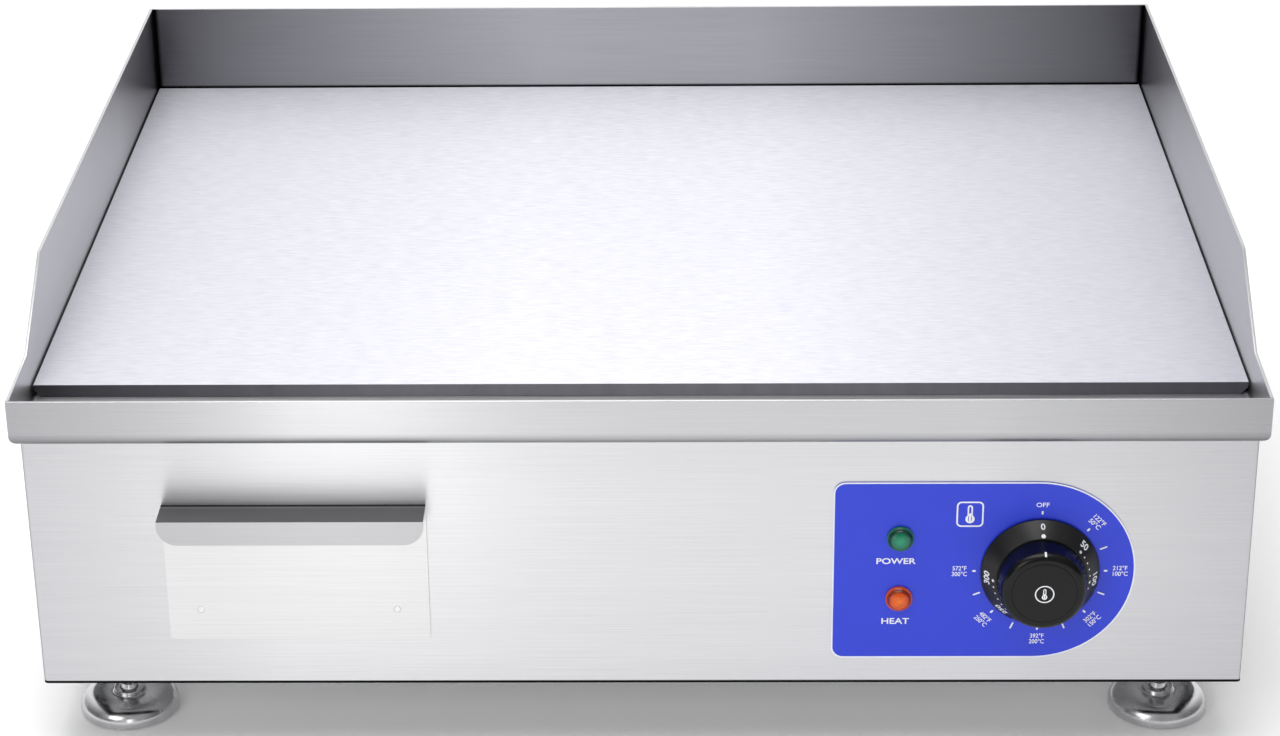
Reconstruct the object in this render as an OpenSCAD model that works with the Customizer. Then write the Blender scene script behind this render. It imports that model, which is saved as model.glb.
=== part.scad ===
// Countertop electric griddle: a steel plate in a splash-guarded tray, on a casing that
// holds two clamped heating elements, a capillary thermostat and a pull-out grease drawer.
// The frame stands on the table: X to the right, Y to the back, Z up, in millimetres.

/* [Overall] */
// Width over the tray
width = 550; // [440:5:700]
// Depth of the tray, lip to splashback
depth = 435; // [360:5:560]
// Height of the casing, from its base to the tray
casing_h = 124; // [110:1:160]
// Height of the feet under the casing, screwed right in
foot_h = 35; // [28:1:45]

/* [Tray] */
// Tray sheet thickness
tray_t = 1.5; // [1:0.1:2.5]
// Height of the lip round the trough
lip_h = 22; // [16:1:32]
// Height of the splash guards above the tray's underside
wall_h = 53.5; // [40:0.5:80]
// How far back from the lip the guards begin to rise
rise_start = 46; // [30:1:60]
// How far back from the lip the guards reach full height
rise_end = 93; // [70:1:130]
// Outer radius of the bend along the tray's bottom edge
bend_r = 5; // [3:0.5:8]
// Trough width, from the lip's face to the plate
trough_w = 48; // [44:1:70]
// Width of the ledge that carries the plate
ledge_w = 22; // [15:1:30]
// Bore of the drain spout
drain_d = 18; // [12:1:22]

/* [Plate] */
// Plate thickness
plate_t = 6; // [4:0.5:12]
// Gap between the plate and the guards
plate_gap = 0.8; // [0.3:0.1:2]

/* [Casing] */
// Casing sheet thickness
casing_t = 1.2; // [0.8:0.1:2]
// How far the tray stands out past each side of the casing
side_overhang = 3; // [2:0.5:10]
// How far the lip stands out past the front panel
front_overhang = 8; // [4:0.5:15]
// How far the splashback stands out past the rear panel
back_overhang = 8; // [4:0.5:15]
// Width of the casing's folded flanges
flange_w = 15; // [12:1:20]
// Radius of the casing's front corners
casing_r = 2; // [1.5:0.5:4]

/* [Drawer] */
// Width of the drawer front
drawer_w = 117.5; // [90:0.5:150]
// Height of the drawer front below its handle
drawer_h = 67.5; // [55:0.5:70]
// Distance from the casing's left side to the drawer front
drawer_inset = 60; // [55:1:90]
// Drop from the tray's underside to the drawer front's top
drawer_drop = 32.5; // [32:0.5:36]
// Length of the grease pan
drawer_len = 280; // [200:5:300]
// Drawer sheet thickness
drawer_t = 1.2; // [0.8:0.1:1.5]
// How far the drawer front laps over its opening
drawer_lap = 6; // [4:0.5:10]
// How far the handle reaches out
handle_reach = 15.5; // [14:0.5:24]
// Height of the handle's turned-down lip
handle_lip = 11.5; // [9:0.5:16]
// Corner radius of the handle's lip
handle_r = 9; // [5:0.5:9]

/* [Control panel] */
// Fascia width
fascia_w = 135; // [125:1:150]
// Fascia height, and the diameter of its round end
fascia_h = 89; // [84:1:92]
// Fascia thickness
fascia_t = 0.5; // [0.3:0.1:1]
// Corner radius at the fascia's square end
fascia_r = 5.5; // [3:0.5:10]
// Distance from the fascia to the casing's right side
fascia_inset = 51; // [46:1:70]
// Drop from the tray's underside to the fascia's top
fascia_drop = 21.8; // [18:0.2:22]
// Distance from the fascia's square end to the lamps
lamp_inset = 30; // [24:0.5:36]
// Distance between the two lamps
lamp_pitch = 30.4; // [26:0.2:34]
// Diameter of a lamp's collar
lamp_d = 12; // [10:0.5:14]

/* [Knob] */
// Diameter of the knob's numbered skirt
skirt_d = 53; // [46:1:58]
// Depth of the skirt, from its edge to the grip
skirt_h = 8; // [5:0.5:10]
// Diameter of the knob's grip at the skirt
grip_d = 40; // [34:1:44]
// How far the whole knob stands out
knob_h = 21; // [17:1:30]
// Diameter of the thermostat's shaft
shaft_d = 6; // [5:0.5:8]

/* [Feet] */
// Diameter of a foot's bell
foot_d = 46; // [36:1:56]
// Height of a foot's bell
bell_h = 11; // [9:0.5:14]
// Distance from the casing's side to a foot's centre
foot_inset_x = 31; // [29:1:45]
// Distance from the front or rear panel to a foot's centre
foot_inset_y = 38; // [36:1:60]
// Diameter of a foot's screw
stem_d = 8; // [6:1:12]

/* [Heating] */
// Diameter of the element's tube
element_d = 8; // [6.5:0.5:10]
// Distance between the passes of an element
pass_pitch = 58; // [48:1:62]
// Thickness of the insulation board
board_t = 9; // [6:0.5:10]
// Diameter of the thermostat's sensing bulb
bulb_d = 6; // [4:0.5:7]
// Length of the sensing bulb
bulb_len = 90; // [60:5:120]
// Diameter of the leads over their sleeving
lead_d = 3.2; // [2.5:0.1:4]

/* [Hidden] */
$fn = 96;
// The angle between the points of a drawn arc, and the gap left between parts that touch
arc_step = 15;
touch = 0.1;

// Heights
z_base = foot_h;
z_deck = z_base + casing_h;
z_floor = z_deck + tray_t;
base_z0 = z_base + casing_t;
base_z1 = base_z0 + casing_t;

// The knob reaches out at the front and the cable gland at the back; the origin lies
// half-way between their ends.
knob_gap = 0.5;
gland_reach = 24;
front_reach = knob_h + knob_gap + fascia_t - front_overhang;
back_reach = gland_reach - back_overhang;
y_lip = -(depth + front_reach + back_reach) / 2 + front_reach;
y_tray_back = y_lip + depth;
y_front = y_lip + front_overhang;
y_back = y_tray_back - back_overhang;
y_inner = y_front + casing_t;
y_face = y_front - fascia_t;
casing_w = width - 2 * side_overhang;
x_side = casing_w / 2;

// Plate
plate_w = width - 2 * (tray_t + plate_gap);
plate_y0 = y_lip + trough_w;
plate_y1 = y_tray_back - tray_t - plate_gap;
plate_bevel = bend_r - tray_t;
window_x = plate_w / 2 - ledge_w;
window_y0 = plate_y0 + ledge_w;
window_y1 = plate_y1 - ledge_w;

// Drawer
drawer_x = -x_side + drawer_inset + drawer_w / 2;
drawer_z1 = z_deck - drawer_drop;
drawer_z0 = drawer_z1 - drawer_h;
mouth_w = drawer_w - 2 * drawer_lap;
mouth_z0 = drawer_z0 + drawer_lap;
mouth_z1 = drawer_z1 - drawer_lap;
pan_clear = 1;
pan_w = mouth_w - 2 * pan_clear;
pan_z0 = mouth_z0 + pan_clear / 2;
pan_z1 = mouth_z1 - pan_clear;
rivet_d = 3;
rivet_hole_d = rivet_d + 0.2;
rivet_inset = 8.5;
rivet_x = [drawer_x - mouth_w / 2 + rivet_inset, drawer_x + mouth_w / 2 - rivet_inset];
rivet_z = pan_z0 + rivet_inset;
runner_lip = 12;
runner_h = 14;

// Control panel
fascia_x1 = x_side - fascia_inset;
fascia_x0 = fascia_x1 - fascia_w;
fascia_z1 = z_deck - fascia_drop;
fascia_zc = fascia_z1 - fascia_h / 2;
knob_shift = 2;
knob_x = fascia_x1 - fascia_h / 2 + knob_shift;
knob_z = fascia_zc;
lamp_x = fascia_x0 + lamp_inset;
lamp_rise = 1.5;
lamp_zc = fascia_zc + lamp_rise;
lamp_hole_d = lamp_d - 2;
lamp_body_d = lamp_hole_d - 0.4;
shaft_hole_d = shaft_d + 4;
shaft_bore_d = shaft_d + 0.1;
shaft_run = knob_h - 8;
shaft_end = 18;

// Knob
skirt_edge = 1;
plug_d = grip_d - 8;
cap_drop = 1;
grip_front_r = grip_d / 2 - 1;
grip_edge_r = 3.5;
cap_seat_r = grip_front_r - grip_edge_r - 1;

// Thermostat, behind the front panel
stat_w = 36;
stat_h = 40;
stat_depth = 34;
stat_screw_d = 4;
stat_screw_pitch = 14;
stat_y1 = y_inner + stat_depth;

// Feet
foot_x = x_side - foot_inset_x;
foot_y = [y_front + foot_inset_y, y_back - foot_inset_y];
foot_pad_t = 3;
foot_pad_r = foot_d / 2 - 2.5;
stem_seat = 4;
stem_fit = 0.05;
insert_h = 12;
insert_d = stem_d + 8;
foot_names = ["fl", "fr", "rl", "rr"];

// Heating parts, stacked below the plate
element_z = z_floor - touch - element_d / 2;
clamp_w = 15;
clamp_t = 2;
clamp_z1 = element_z - element_d / 2 - touch;
stud_d = 5;
stud_hole_d = stud_d + 0.5;
nut_t = 4;
nut_d = 9.2;
stud_z0 = clamp_z1 - clamp_t - nut_t - 1.5;
pan_sheet = 0.8;
shield_z1 = z_deck - 20;
shield_z0 = shield_z1 - pan_sheet;
board_z0 = shield_z0 - board_t;
shield_x = x_side - flange_w - 3;
hang_x = x_side - casing_t - 2;
shield_y0 = y_inner + flange_w + drain_d + 8;
shield_y1 = y_back - casing_t - 8;
passes = 4;
element_x = (passes * pass_pitch + 26) / 2;
element_y0 = window_y0 + 12 + pass_pitch / 2;
element_y1 = window_y1 - 12 - pass_pitch / 2;
leg_r = element_d + 2;
leg_z0 = board_z0 - 10;
leg_hole_d = element_d + 5;
leg_x = (passes - 1) / 2 * pass_pitch;
leg_y = element_y1 + leg_r;
clamp_y = [element_y0 + 30, element_y1 - 30];
// The clamps' studs stand between the outer passes of each element.
clamp_stud_x = [for (e = [-1, 1], s = [-1, 1]) e * element_x + s * pass_pitch];
bulb_z = z_floor - touch - bulb_d / 2;
bulb_y0 = (window_y0 + window_y1 - bulb_len) / 2;
bulb_stud = [-9, (window_y0 + window_y1) / 2];
clip_t = 1.5;
clip_z1 = bulb_z - bulb_d / 2 - touch;
tube_hole = [14, bulb_y0 - 30];
tube_hole_d = 8;
capillary_d = 1.6;
// Two leads meet at some legs, each this far from the leg's middle.
leg_share = 2;
lead_z = board_z0 - 5;

// Drain
drain_x = drawer_x;
drain_y = y_lip + (tray_t + trough_w) / 2;
drain_wall = 1;
drain_clear = 5;
drain_z0 = z_deck - drawer_drop - 3;

// Mains connections
gland_x = x_side - 70;
gland_z = z_base + 38;
gland_hole_d = 20;
gland_bore_d = 10;
earth_x = gland_x - 50;
block_w = 46;
block_d = 20;
block_h = 18;
block_y = y_back - 62;
way_pitch = 14;
way_y = block_y + 6;
way_z = base_z1 + 9;

// Fasteners: a screw is [shank diameter, head diameter, head height], a nut [width, height]
sheet_screw = [3.9, 7.5, 2.2];
screw_play = 0.2;
tray_stud_d = 4;
tray_stud_l = 7;
tray_nut = [8, 3.2];
lamp_nut = [16, 3];
gland_nut_size = [28, 5];
tray_stud_x = [-x_side + flange_w / 2 + casing_t, x_side - flange_w / 2 - casing_t];
tray_stud_y = [y_front + 70, (y_front + y_back) / 2, y_back - 70];
base_screw_y = [y_front + 80, y_back - 80];
rear_screw_x = [-x_side + flange_w / 2 + casing_t, x_side - flange_w / 2 - casing_t];
rear_screw_z = [z_base + 22, z_deck - 22];

// ---- Shared shapes ----

module block(low, high) {
    translate(low) cube(high - low);
}

// A round bar upwards from z0 to z1.
module bar_z(x, y, z0, z1, d) {
    translate([x, y, z0]) cylinder(h = z1 - z0, d = d);
}

// A round bar backwards from y0 to y1.
module bar_y(x, z, y0, y1, d) {
    translate([x, y0, z]) rotate([-90, 0, 0]) cylinder(h = y1 - y0, d = d);
}

function unit(v) = v / norm(v);

// The arc-like curve that rounds the corner p between a and b.
function corner(a, p, b, n = 4) =
    [for (i = [0 : n]) let (t = i / n) (1 - t) * (1 - t) * a + 2 * t * (1 - t) * p + t * t * b];

// A route with each of its corners rounded by a reach r.
function rounded_route(p, r) = concat([p[0]],
    [for (i = [1 : len(p) - 2])
        each corner(p[i] + r * unit(p[i - 1] - p[i]), p[i], p[i] + r * unit(p[i + 1] - p[i]))],
    [p[len(p) - 1]]);

// A lead or a fine tube swept along a route, with eight sides.
module swept(points, d, r = 6) {
    n = 8;
    route = rounded_route(points, r);
    last = len(route) - 1;
    // No stretch of any route runs this way, so the rings never twist.
    aside = [0.35, 0.55, 0.75];
    rings = [for (i = [0 : last]) let (
        t = unit(route[min(i + 1, last)] - route[max(i - 1, 0)]),
        u = unit(cross(t, aside)), v = cross(t, u))
        for (k = [0 : n - 1]) route[i] + d / 2 * (cos(360 * k / n) * u + sin(360 * k / n) * v)];
    sides = [for (i = [0 : last - 1], k = [0 : n - 1]) let (
        a = i * n + k, b = i * n + (k + 1) % n)
        each [[a, a + n, b + n], [a, b + n, b]]];
    polyhedron(rings, concat([[for (k = [0 : n - 1]) k]], sides,
                             [[for (k = [n - 1 : -1 : 0]) last * n + k]]));
}

// A rectangle from the origin with all four corners rounded.
module round_rect(w, h, r) {
    translate([r, 0]) square([w - 2 * r, h]);
    translate([0, r]) square([w, h - 2 * r]);
    for (x = [r, w - r], y = [r, h - r]) translate([x, y]) circle(r = r);
}

// A rectangle from the origin with its two lower corners rounded.
module round_bottom(w, h, r) {
    translate([r, 0]) square([w - 2 * r, h]);
    translate([0, r]) square([w, h - r]);
    for (x = [r, w - r]) translate([x, r]) circle(r = r);
}

// A slot of length l and width w, its middle at the origin.
module slot(l, w) {
    square([l - w, w], center = true);
    for (s = [-1, 1]) translate([s * (l - w) / 2, 0]) circle(d = w);
}

// A pan-head screw: its head's underside at the origin, its shank along +Z.
module pan_screw(length) {
    cylinder(h = length, d = sheet_screw[0]);
    translate([0, 0, -sheet_screw[2] / 2])
        cylinder(h = sheet_screw[2] / 2, d = sheet_screw[1]);
    translate([0, 0, -sheet_screw[2]])
        cylinder(h = sheet_screw[2] / 2, d1 = sheet_screw[1] - 2, d2 = sheet_screw[1]);
}

// A hexagon nut along +Z, from the origin, with its bore.
module hex_nut(d, h, bore) {
    difference() {
        cylinder(h = h, d = d, $fn = 6);
        translate([0, 0, -1]) cylinder(h = h + 2, d = bore);
    }
}

// Repeats its children at the four feet.
module at_feet() {
    for (x = [-foot_x, foot_x], y = foot_y) translate([x, y, 0]) children();
}

// ---- Tray and plate ----

// A solid of the tray's outline: flat floor, bottom bends all round, guards cut to shape.
module tray_form(inset, top) {
    r = bend_r - inset;
    w = width - 2 * inset;
    d = depth - 2 * inset;
    intersection() {
        translate([-w / 2, y_tray_back, z_deck + inset]) rotate([90, 0, 0])
            linear_extrude(depth) round_bottom(w, top, r);
        translate([-width, y_lip + inset, z_deck + inset]) rotate([90, 0, 90])
            linear_extrude(2 * width) round_bottom(d, top, r);
    }
}

module top_tray() {
    color("silver") difference() {
        intersection() {
            tray_form(0, wall_h);
            translate([-width, y_lip, z_deck]) rotate([90, 0, 90]) linear_extrude(2 * width)
                polygon([[0, 0], [0, lip_h], [rise_start, lip_h + 1], [rise_end, wall_h],
                         [depth, wall_h], [depth, 0]]);
        }
        tray_form(tray_t, 2 * wall_h);
        block([-window_x, window_y0, z_deck - 1], [window_x, window_y1, z_floor + 1]);
        bar_z(drain_x, drain_y, z_deck - 1, z_floor + 1, drain_d);
    }
}

// The plate: bevelled underneath where the tray's bends pass.
module griddle_plate() {
    b = plate_bevel;
    w = plate_w;
    l = plate_y1 - plate_y0;
    color("lightsteelblue") intersection() {
        translate([-w / 2, plate_y1, z_floor]) rotate([90, 0, 0]) linear_extrude(l)
            polygon([[b, 0], [w - b, 0], [w, b], [w, plate_t], [0, plate_t], [0, b]]);
        translate([-w, plate_y0, z_floor]) rotate([90, 0, 90]) linear_extrude(2 * w)
            polygon([[0, 0], [l - b, 0], [l, b], [l, plate_t], [0, plate_t]]);
    }
}

module drain_spout() {
    d = drain_d + 2 * drain_wall;
    color("silver") difference() {
        union() {
            bar_z(drain_x, drain_y, drain_z0, z_deck, d);
            bar_z(drain_x, drain_y, z_deck - 1, z_deck, d + 6);
        }
        bar_z(drain_x, drain_y, drain_z0 - 1, z_deck + 1, drain_d);
    }
}

module tray_studs() {
    color("silver") for (x = tray_stud_x, y = tray_stud_y)
        bar_z(x, y, z_deck - casing_t - tray_stud_l, z_deck, tray_stud_d);
}

module tray_nuts() {
    color("silver") for (x = tray_stud_x, y = tray_stud_y)
        translate([x, y, z_deck - casing_t - pan_sheet - tray_nut[1]])
            hex_nut(tray_nut[0], tray_nut[1], tray_stud_d + screw_play);
}

// ---- Casing ----

module drawer_mouth() {
    block([drawer_x - mouth_w / 2, y_front - 5, mouth_z0],
          [drawer_x + mouth_w / 2, y_inner + 5, mouth_z1]);
}

// Front and two sides in one folded sheet, flanged at the top, the bottom and the back.
module casing() {
    color("silver") difference() {
        translate([0, 0, z_base]) linear_extrude(casing_h)
            translate([-x_side, y_front])
                round_rect(casing_w, y_back - casing_t - y_front, casing_r);
        block([-x_side + casing_t, y_inner, z_base + casing_t],
              [x_side - casing_t, y_back - 2 * casing_t, z_deck - casing_t]);
        block([-x_side + flange_w, y_front + flange_w, z_base - 1],
              [x_side - flange_w, y_back, z_deck + 1]);
        drawer_mouth();
        bar_y(knob_x, knob_z, y_front - 1, y_inner + 1, shaft_hole_d);
        for (s = [-1, 1]) {
            bar_y(knob_x + s * stat_screw_pitch, knob_z, y_front - 1, y_inner + 1,
                  stat_screw_d + screw_play);
            bar_y(lamp_x, lamp_zc + s * lamp_pitch / 2, y_front - 1, y_inner + 1, lamp_hole_d);
        }
        bar_z(drain_x, drain_y, z_deck - 2 * casing_t, z_deck + 1, drain_d + 2 * drain_clear);
        for (x = tray_stud_x, y = tray_stud_y)
            bar_z(x, y, z_deck - 2 * casing_t, z_deck + 1, tray_stud_d + 2 * screw_play);
        for (x = tray_stud_x, y = base_screw_y)
            bar_z(x, y, z_base - 1, z_base + 2 * casing_t, sheet_screw[0] + screw_play);
        for (x = rear_screw_x, z = rear_screw_z)
            bar_y(x, z, y_back - 3 * casing_t, y_back, sheet_screw[0] + screw_play);
    }
}

module rear_panel() {
    vent_x = [-130, 0];
    vent_z = [40 : 12 : 88];
    color("silver") difference() {
        block([-x_side, y_back - casing_t, z_base], [x_side, y_back, z_deck]);
        for (x = vent_x, z = vent_z)
            translate([x, y_back + 1, z_base + z]) rotate([90, 0, 0])
                linear_extrude(casing_t + 2) slot(90, 4);
        for (x = rear_screw_x, z = rear_screw_z)
            bar_y(x, z, y_back - casing_t - 1, y_back + 1, sheet_screw[0] + screw_play);
        bar_y(gland_x, gland_z, y_back - casing_t - 1, y_back + 1, gland_hole_d + screw_play);
        bar_y(earth_x, gland_z, y_back - casing_t - 1, y_back + 1, stud_d + screw_play);
    }
}

module rear_screws() {
    color("silver") for (x = rear_screw_x, z = rear_screw_z)
        translate([x, y_back, z]) rotate([90, 0, 0]) pan_screw(8);
}

module base_plate() {
    play = 0.4;
    vent_x = [-20, 90];
    vent_y = [-20 : 16 : 60];
    color("silver") difference() {
        block([-x_side + casing_t + play, y_inner + play, base_z0],
              [x_side - casing_t - play, y_back - 2 * casing_t - play, base_z1]);
        at_feet() bar_z(0, 0, z_base, base_z1 + 1, stem_d + 1);
        for (x = tray_stud_x, y = base_screw_y)
            bar_z(x, y, z_base, base_z1 + 1, sheet_screw[0] + screw_play);
        for (x = vent_x, y = vent_y)
            translate([x, y, z_base]) linear_extrude(4 * casing_t) slot(70, 5);
    }
}

module base_screws() {
    color("silver") for (x = tray_stud_x, y = base_screw_y)
        translate([x, y, z_base]) pan_screw(7);
}

module foot_inserts() {
    flange_t = 1.5;
    flange_d = insert_d + 6;
    color("silver") at_feet() difference() {
        union() {
            bar_z(0, 0, base_z1, base_z1 + insert_h, insert_d);
            bar_z(0, 0, base_z1, base_z1 + flange_t, flange_d);
        }
        bar_z(0, 0, base_z0, base_z1 + insert_h + 1, stem_d + 2 * stem_fit);
    }
}

// ---- Drawer ----

module drawer_pan() {
    t = drawer_t;
    x0 = drawer_x - pan_w / 2;
    x1 = drawer_x + pan_w / 2;
    color("silver") difference() {
        block([x0, y_front, pan_z0], [x1, y_front + drawer_len, pan_z1]);
        block([x0 + t, y_front + t, pan_z0 + t], [x1 - t, y_front + drawer_len - t, pan_z1 + 1]);
        for (x = rivet_x) bar_y(x, rivet_z, y_front - 1, y_front + t + 1, rivet_hole_d);
    }
}

// The drawer's front sheet, with the handle folded out of its top edge.
module drawer_front() {
    t = drawer_t;
    x0 = drawer_x - drawer_w / 2;
    x1 = drawer_x + drawer_w / 2;
    y0 = y_front - t;
    y1 = y0 - handle_reach + t;
    color("silver") difference() {
        union() {
            translate([x0, y_front, drawer_z0]) rotate([90, 0, 0])
                linear_extrude(t) round_rect(drawer_w, drawer_h, 1.5);
            block([x0, y1, drawer_z1 - t], [x1, y_front, drawer_z1]);
            intersection() {
                translate([x0, y1, drawer_z1 - handle_lip]) rotate([90, 0, 0])
                    linear_extrude(t) round_bottom(drawer_w, handle_lip, handle_r);
                block([-width, y_lip - width, 0], [width, y_front, drawer_z1]);
            }
        }
        for (x = rivet_x) bar_y(x, rivet_z, y0 - 1, y_front + 1, rivet_hole_d);
    }
}

module drawer_rivets() {
    t = drawer_t;
    color("silver") for (x = rivet_x) {
        bar_y(x, rivet_z, y_front - t, y_front + t, rivet_d);
        bar_y(x, rivet_z, y_front + t, y_front + t + 1, rivet_d + 2);
    }
}

// Two folded runners stand on the base plate and carry the pan on inward shelves.
module drawer_runners() {
    t = casing_t;
    wall_x = mouth_w / 2 + 0.3;
    color("silver") for (s = [-1, 1]) translate([drawer_x, 0, 0]) mirror([s < 0 ? 1 : 0, 0, 0]) {
        block([wall_x, y_inner, base_z1], [wall_x + t, y_front + drawer_len, pan_z0 + runner_h]);
        block([wall_x - runner_lip, y_inner, pan_z0 - t - 0.1],
              [wall_x + t, y_front + drawer_len, pan_z0 - 0.1]);
        block([wall_x, y_inner, base_z1],
              [wall_x + runner_lip, y_front + drawer_len, base_z1 + t]);
    }
}

// ---- Control panel ----

module fascia_outline() {
    r = fascia_h / 2;
    translate([fascia_w - r, r]) circle(r = r);
    translate([fascia_r, 0]) square([fascia_w - r - fascia_r, fascia_h]);
    translate([0, fascia_r]) square([fascia_w - r, fascia_h - 2 * fascia_r]);
    for (z = [fascia_r, fascia_h - fascia_r]) translate([fascia_r, z]) circle(r = fascia_r);
}

module fascia() {
    color("royalblue") difference() {
        translate([fascia_x0, y_front, fascia_z1 - fascia_h]) rotate([90, 0, 0])
            linear_extrude(fascia_t) fascia_outline();
        bar_y(knob_x, knob_z, y_face - 1, y_front + 1, shaft_hole_d);
        for (s = [-1, 1]) {
            bar_y(knob_x + s * stat_screw_pitch, knob_z, y_face - 1, y_front + 1, 9);
            bar_y(lamp_x, lamp_zc + s * lamp_pitch / 2, y_face - 1, y_front + 1, lamp_hole_d);
        }
    }
}

// A lamp's lens: a collar on the fascia, a bevel and a shallow dome.
module lens(z) {
    r = lamp_d / 2;
    collar = 1.2;
    bevel = 1.6;
    dome_r = 11.2;
    dome_rise = 1.2;
    translate([lamp_x, y_face, z]) rotate([90, 0, 0]) {
        cylinder(h = collar, r = r);
        translate([0, 0, collar]) cylinder(h = bevel, r1 = r - 0.4, r2 = r - 1.4);
        translate([0, 0, collar + bevel]) intersection() {
            translate([0, 0, dome_rise - dome_r]) sphere(r = dome_r);
            cylinder(h = 2 * dome_rise, r = r - 1.6);
        }
    }
}

module power_lens() {
    color("seagreen") lens(lamp_zc + lamp_pitch / 2);
}

module heat_lens() {
    color("orangered") lens(lamp_zc - lamp_pitch / 2);
}

module lamp_bodies() {
    color("white") for (s = [-1, 1])
        bar_y(lamp_x, lamp_zc + s * lamp_pitch / 2, y_face, y_inner + 22, lamp_body_d);
}

module lamp_nuts() {
    color("dimgray") for (s = [-1, 1])
        translate([lamp_x, y_inner, lamp_zc + s * lamp_pitch / 2]) rotate([-90, 0, 0])
            hex_nut(lamp_nut[0], lamp_nut[1], lamp_body_d + screw_play);
}

module thermostat() {
    stand_off = 4;
    root = y_inner + stand_off + 1;
    color("ivory") difference() {
        union() {
            block([knob_x - stat_w / 2, y_inner + stand_off, knob_z - stat_h / 2],
                  [knob_x + stat_w / 2, stat_y1, knob_z + stat_h / 2]);
            for (s = [-1, 1])
                bar_y(knob_x + s * stat_screw_pitch, knob_z, y_inner, root, 2 * stat_screw_d);
            bar_y(knob_x, knob_z, y_front + 0.2, root, shaft_hole_d - 0.5);
        }
        bar_y(knob_x, knob_z, y_front - 1, y_inner + shaft_end + 2, shaft_bore_d);
        for (s = [-1, 1])
            bar_y(knob_x + s * stat_screw_pitch, knob_z, y_front, y_inner + 10,
                  stat_screw_d + screw_play);
    }
}

module thermostat_screws() {
    head_h = 0.4;
    head_d = 7.5;
    color("silver") for (s = [-1, 1])
        translate([knob_x + s * stat_screw_pitch, y_front, knob_z]) rotate([-90, 0, 0]) {
            cylinder(h = casing_t + 8, d = stat_screw_d);
            translate([0, 0, -head_h]) cylinder(h = head_h, d = head_d);
        }
}

module control_shaft() {
    color("silver") bar_y(knob_x, knob_z, y_face - knob_gap - shaft_run,
                          y_inner + shaft_end, shaft_d);
}

// Draws its children with +Z out of the panel and the origin at the knob's back.
module on_panel() {
    translate([knob_x, y_face - knob_gap, knob_z]) rotate([90, 0, 0]) children();
}

module knob_skirt() {
    color("black") on_panel() difference() {
        union() {
            cylinder(h = skirt_edge, d = skirt_d);
            translate([0, 0, skirt_edge])
                cylinder(h = skirt_h - skirt_edge, d1 = skirt_d, d2 = grip_d + 1);
        }
        translate([0, 0, -1]) cylinder(h = skirt_h + 2, d = plug_d);
    }
}

// The grip: slightly tapered, with a rounded edge and a plug that fills the skirt's hole.
module knob_grip() {
    r = grip_edge_r;
    h = knob_h - cap_drop;
    color("black") on_panel() difference() {
        union() {
            translate([0, 0, skirt_h]) rotate_extrude()
                polygon(concat([[0, 0], [grip_d / 2, 0]],
                    [for (a = [0 : arc_step : 90])
                        [grip_front_r - r + r * cos(a), h - skirt_h - r + r * sin(a)]],
                    [[0, h - skirt_h]]));
            cylinder(h = skirt_h, d = plug_d - 2 * touch);
        }
        translate([0, 0, -1]) cylinder(h = shaft_run + 1, d = shaft_bore_d);
        translate([0, 0, h - cap_drop]) cylinder(h = cap_drop + 1, r = cap_seat_r);
    }
}

// The domed disc that closes the grip's front.
module knob_cap() {
    r = cap_seat_r - touch;
    rise = cap_drop;
    color("black") on_panel() translate([0, 0, knob_h - rise - cap_drop]) rotate_extrude()
        polygon(concat([[0, 0], [r, 0]],
            [for (a = [0 : arc_step : 90]) [r * cos(a), cap_drop + rise * sin(a)]]));
}

// ---- Feet ----

// A pressed bell: a round-shouldered side, a slightly dished top and a ring at its screw.
module foot_bell() {
    r = foot_d / 2;
    ring = stem_d / 2 + 3;
    shoulder = 7;
    top = bell_h - 1.4;
    color("silver") difference() {
        rotate_extrude() polygon(concat(
            [[0, 0.6], [r - 0.8, 0.6], [r, 1.4]],
            [for (a = [0 : arc_step : 90])
                [r - shoulder + shoulder * cos(a), top - shoulder + shoulder * sin(a)]],
            [[ring + 1, top - 0.8], [ring, top - 0.8], [ring, bell_h - 0.4],
             [ring - 0.6, bell_h], [0, bell_h]]));
        translate([0, 0, -1]) cylinder(h = foot_pad_t + 1, r = foot_pad_r + touch);
        translate([0, 0, stem_seat]) cylinder(h = bell_h, d = stem_d + 2 * stem_fit);
    }
}

module foot_pad() {
    color("black") cylinder(h = foot_pad_t, r = foot_pad_r);
}

module foot_stem() {
    top = base_z1 + insert_h + 10;
    collar_h = 4;
    collar_z0 = z_base - collar_h - 10;
    color("silver") {
        bar_z(0, 0, stem_seat, top, stem_d);
        translate([0, 0, collar_z0]) cylinder(h = collar_h, d = stem_d + 5, $fn = 6);
    }
}

// ---- Heating ----

// One tube laid in passes from front to back, its two ends turned down at the back.
module heating_element() {
    r = pass_pitch / 2;
    color("dimgray") translate([0, 0, element_z]) {
        for (i = [0 : passes - 1])
            bar_y(i * pass_pitch - leg_x, 0, element_y0, element_y1, element_d);
        for (i = [0 : passes - 2]) {
            front = i % 2 == 0;
            translate([(i - (passes - 2) / 2) * pass_pitch, front ? element_y0 : element_y1, 0])
                rotate([0, 0, front ? 180 : 0]) rotate_extrude(angle = 180)
                    translate([r, 0]) circle(d = element_d);
        }
        for (s = [-1, 1]) translate([s * leg_x, element_y1, -leg_r]) {
            rotate([90, 0, 90]) rotate_extrude(angle = 90)
                translate([leg_r, 0]) circle(d = element_d);
            translate([0, leg_r, leg_z0 - element_z + leg_r])
                cylinder(h = element_z - leg_z0 - leg_r, d = element_d);
        }
    }
}

module heating_element_left() {
    translate([-element_x, 0, 0]) heating_element();
}

module heating_element_right() {
    translate([element_x, 0, 0]) heating_element();
}

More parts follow.
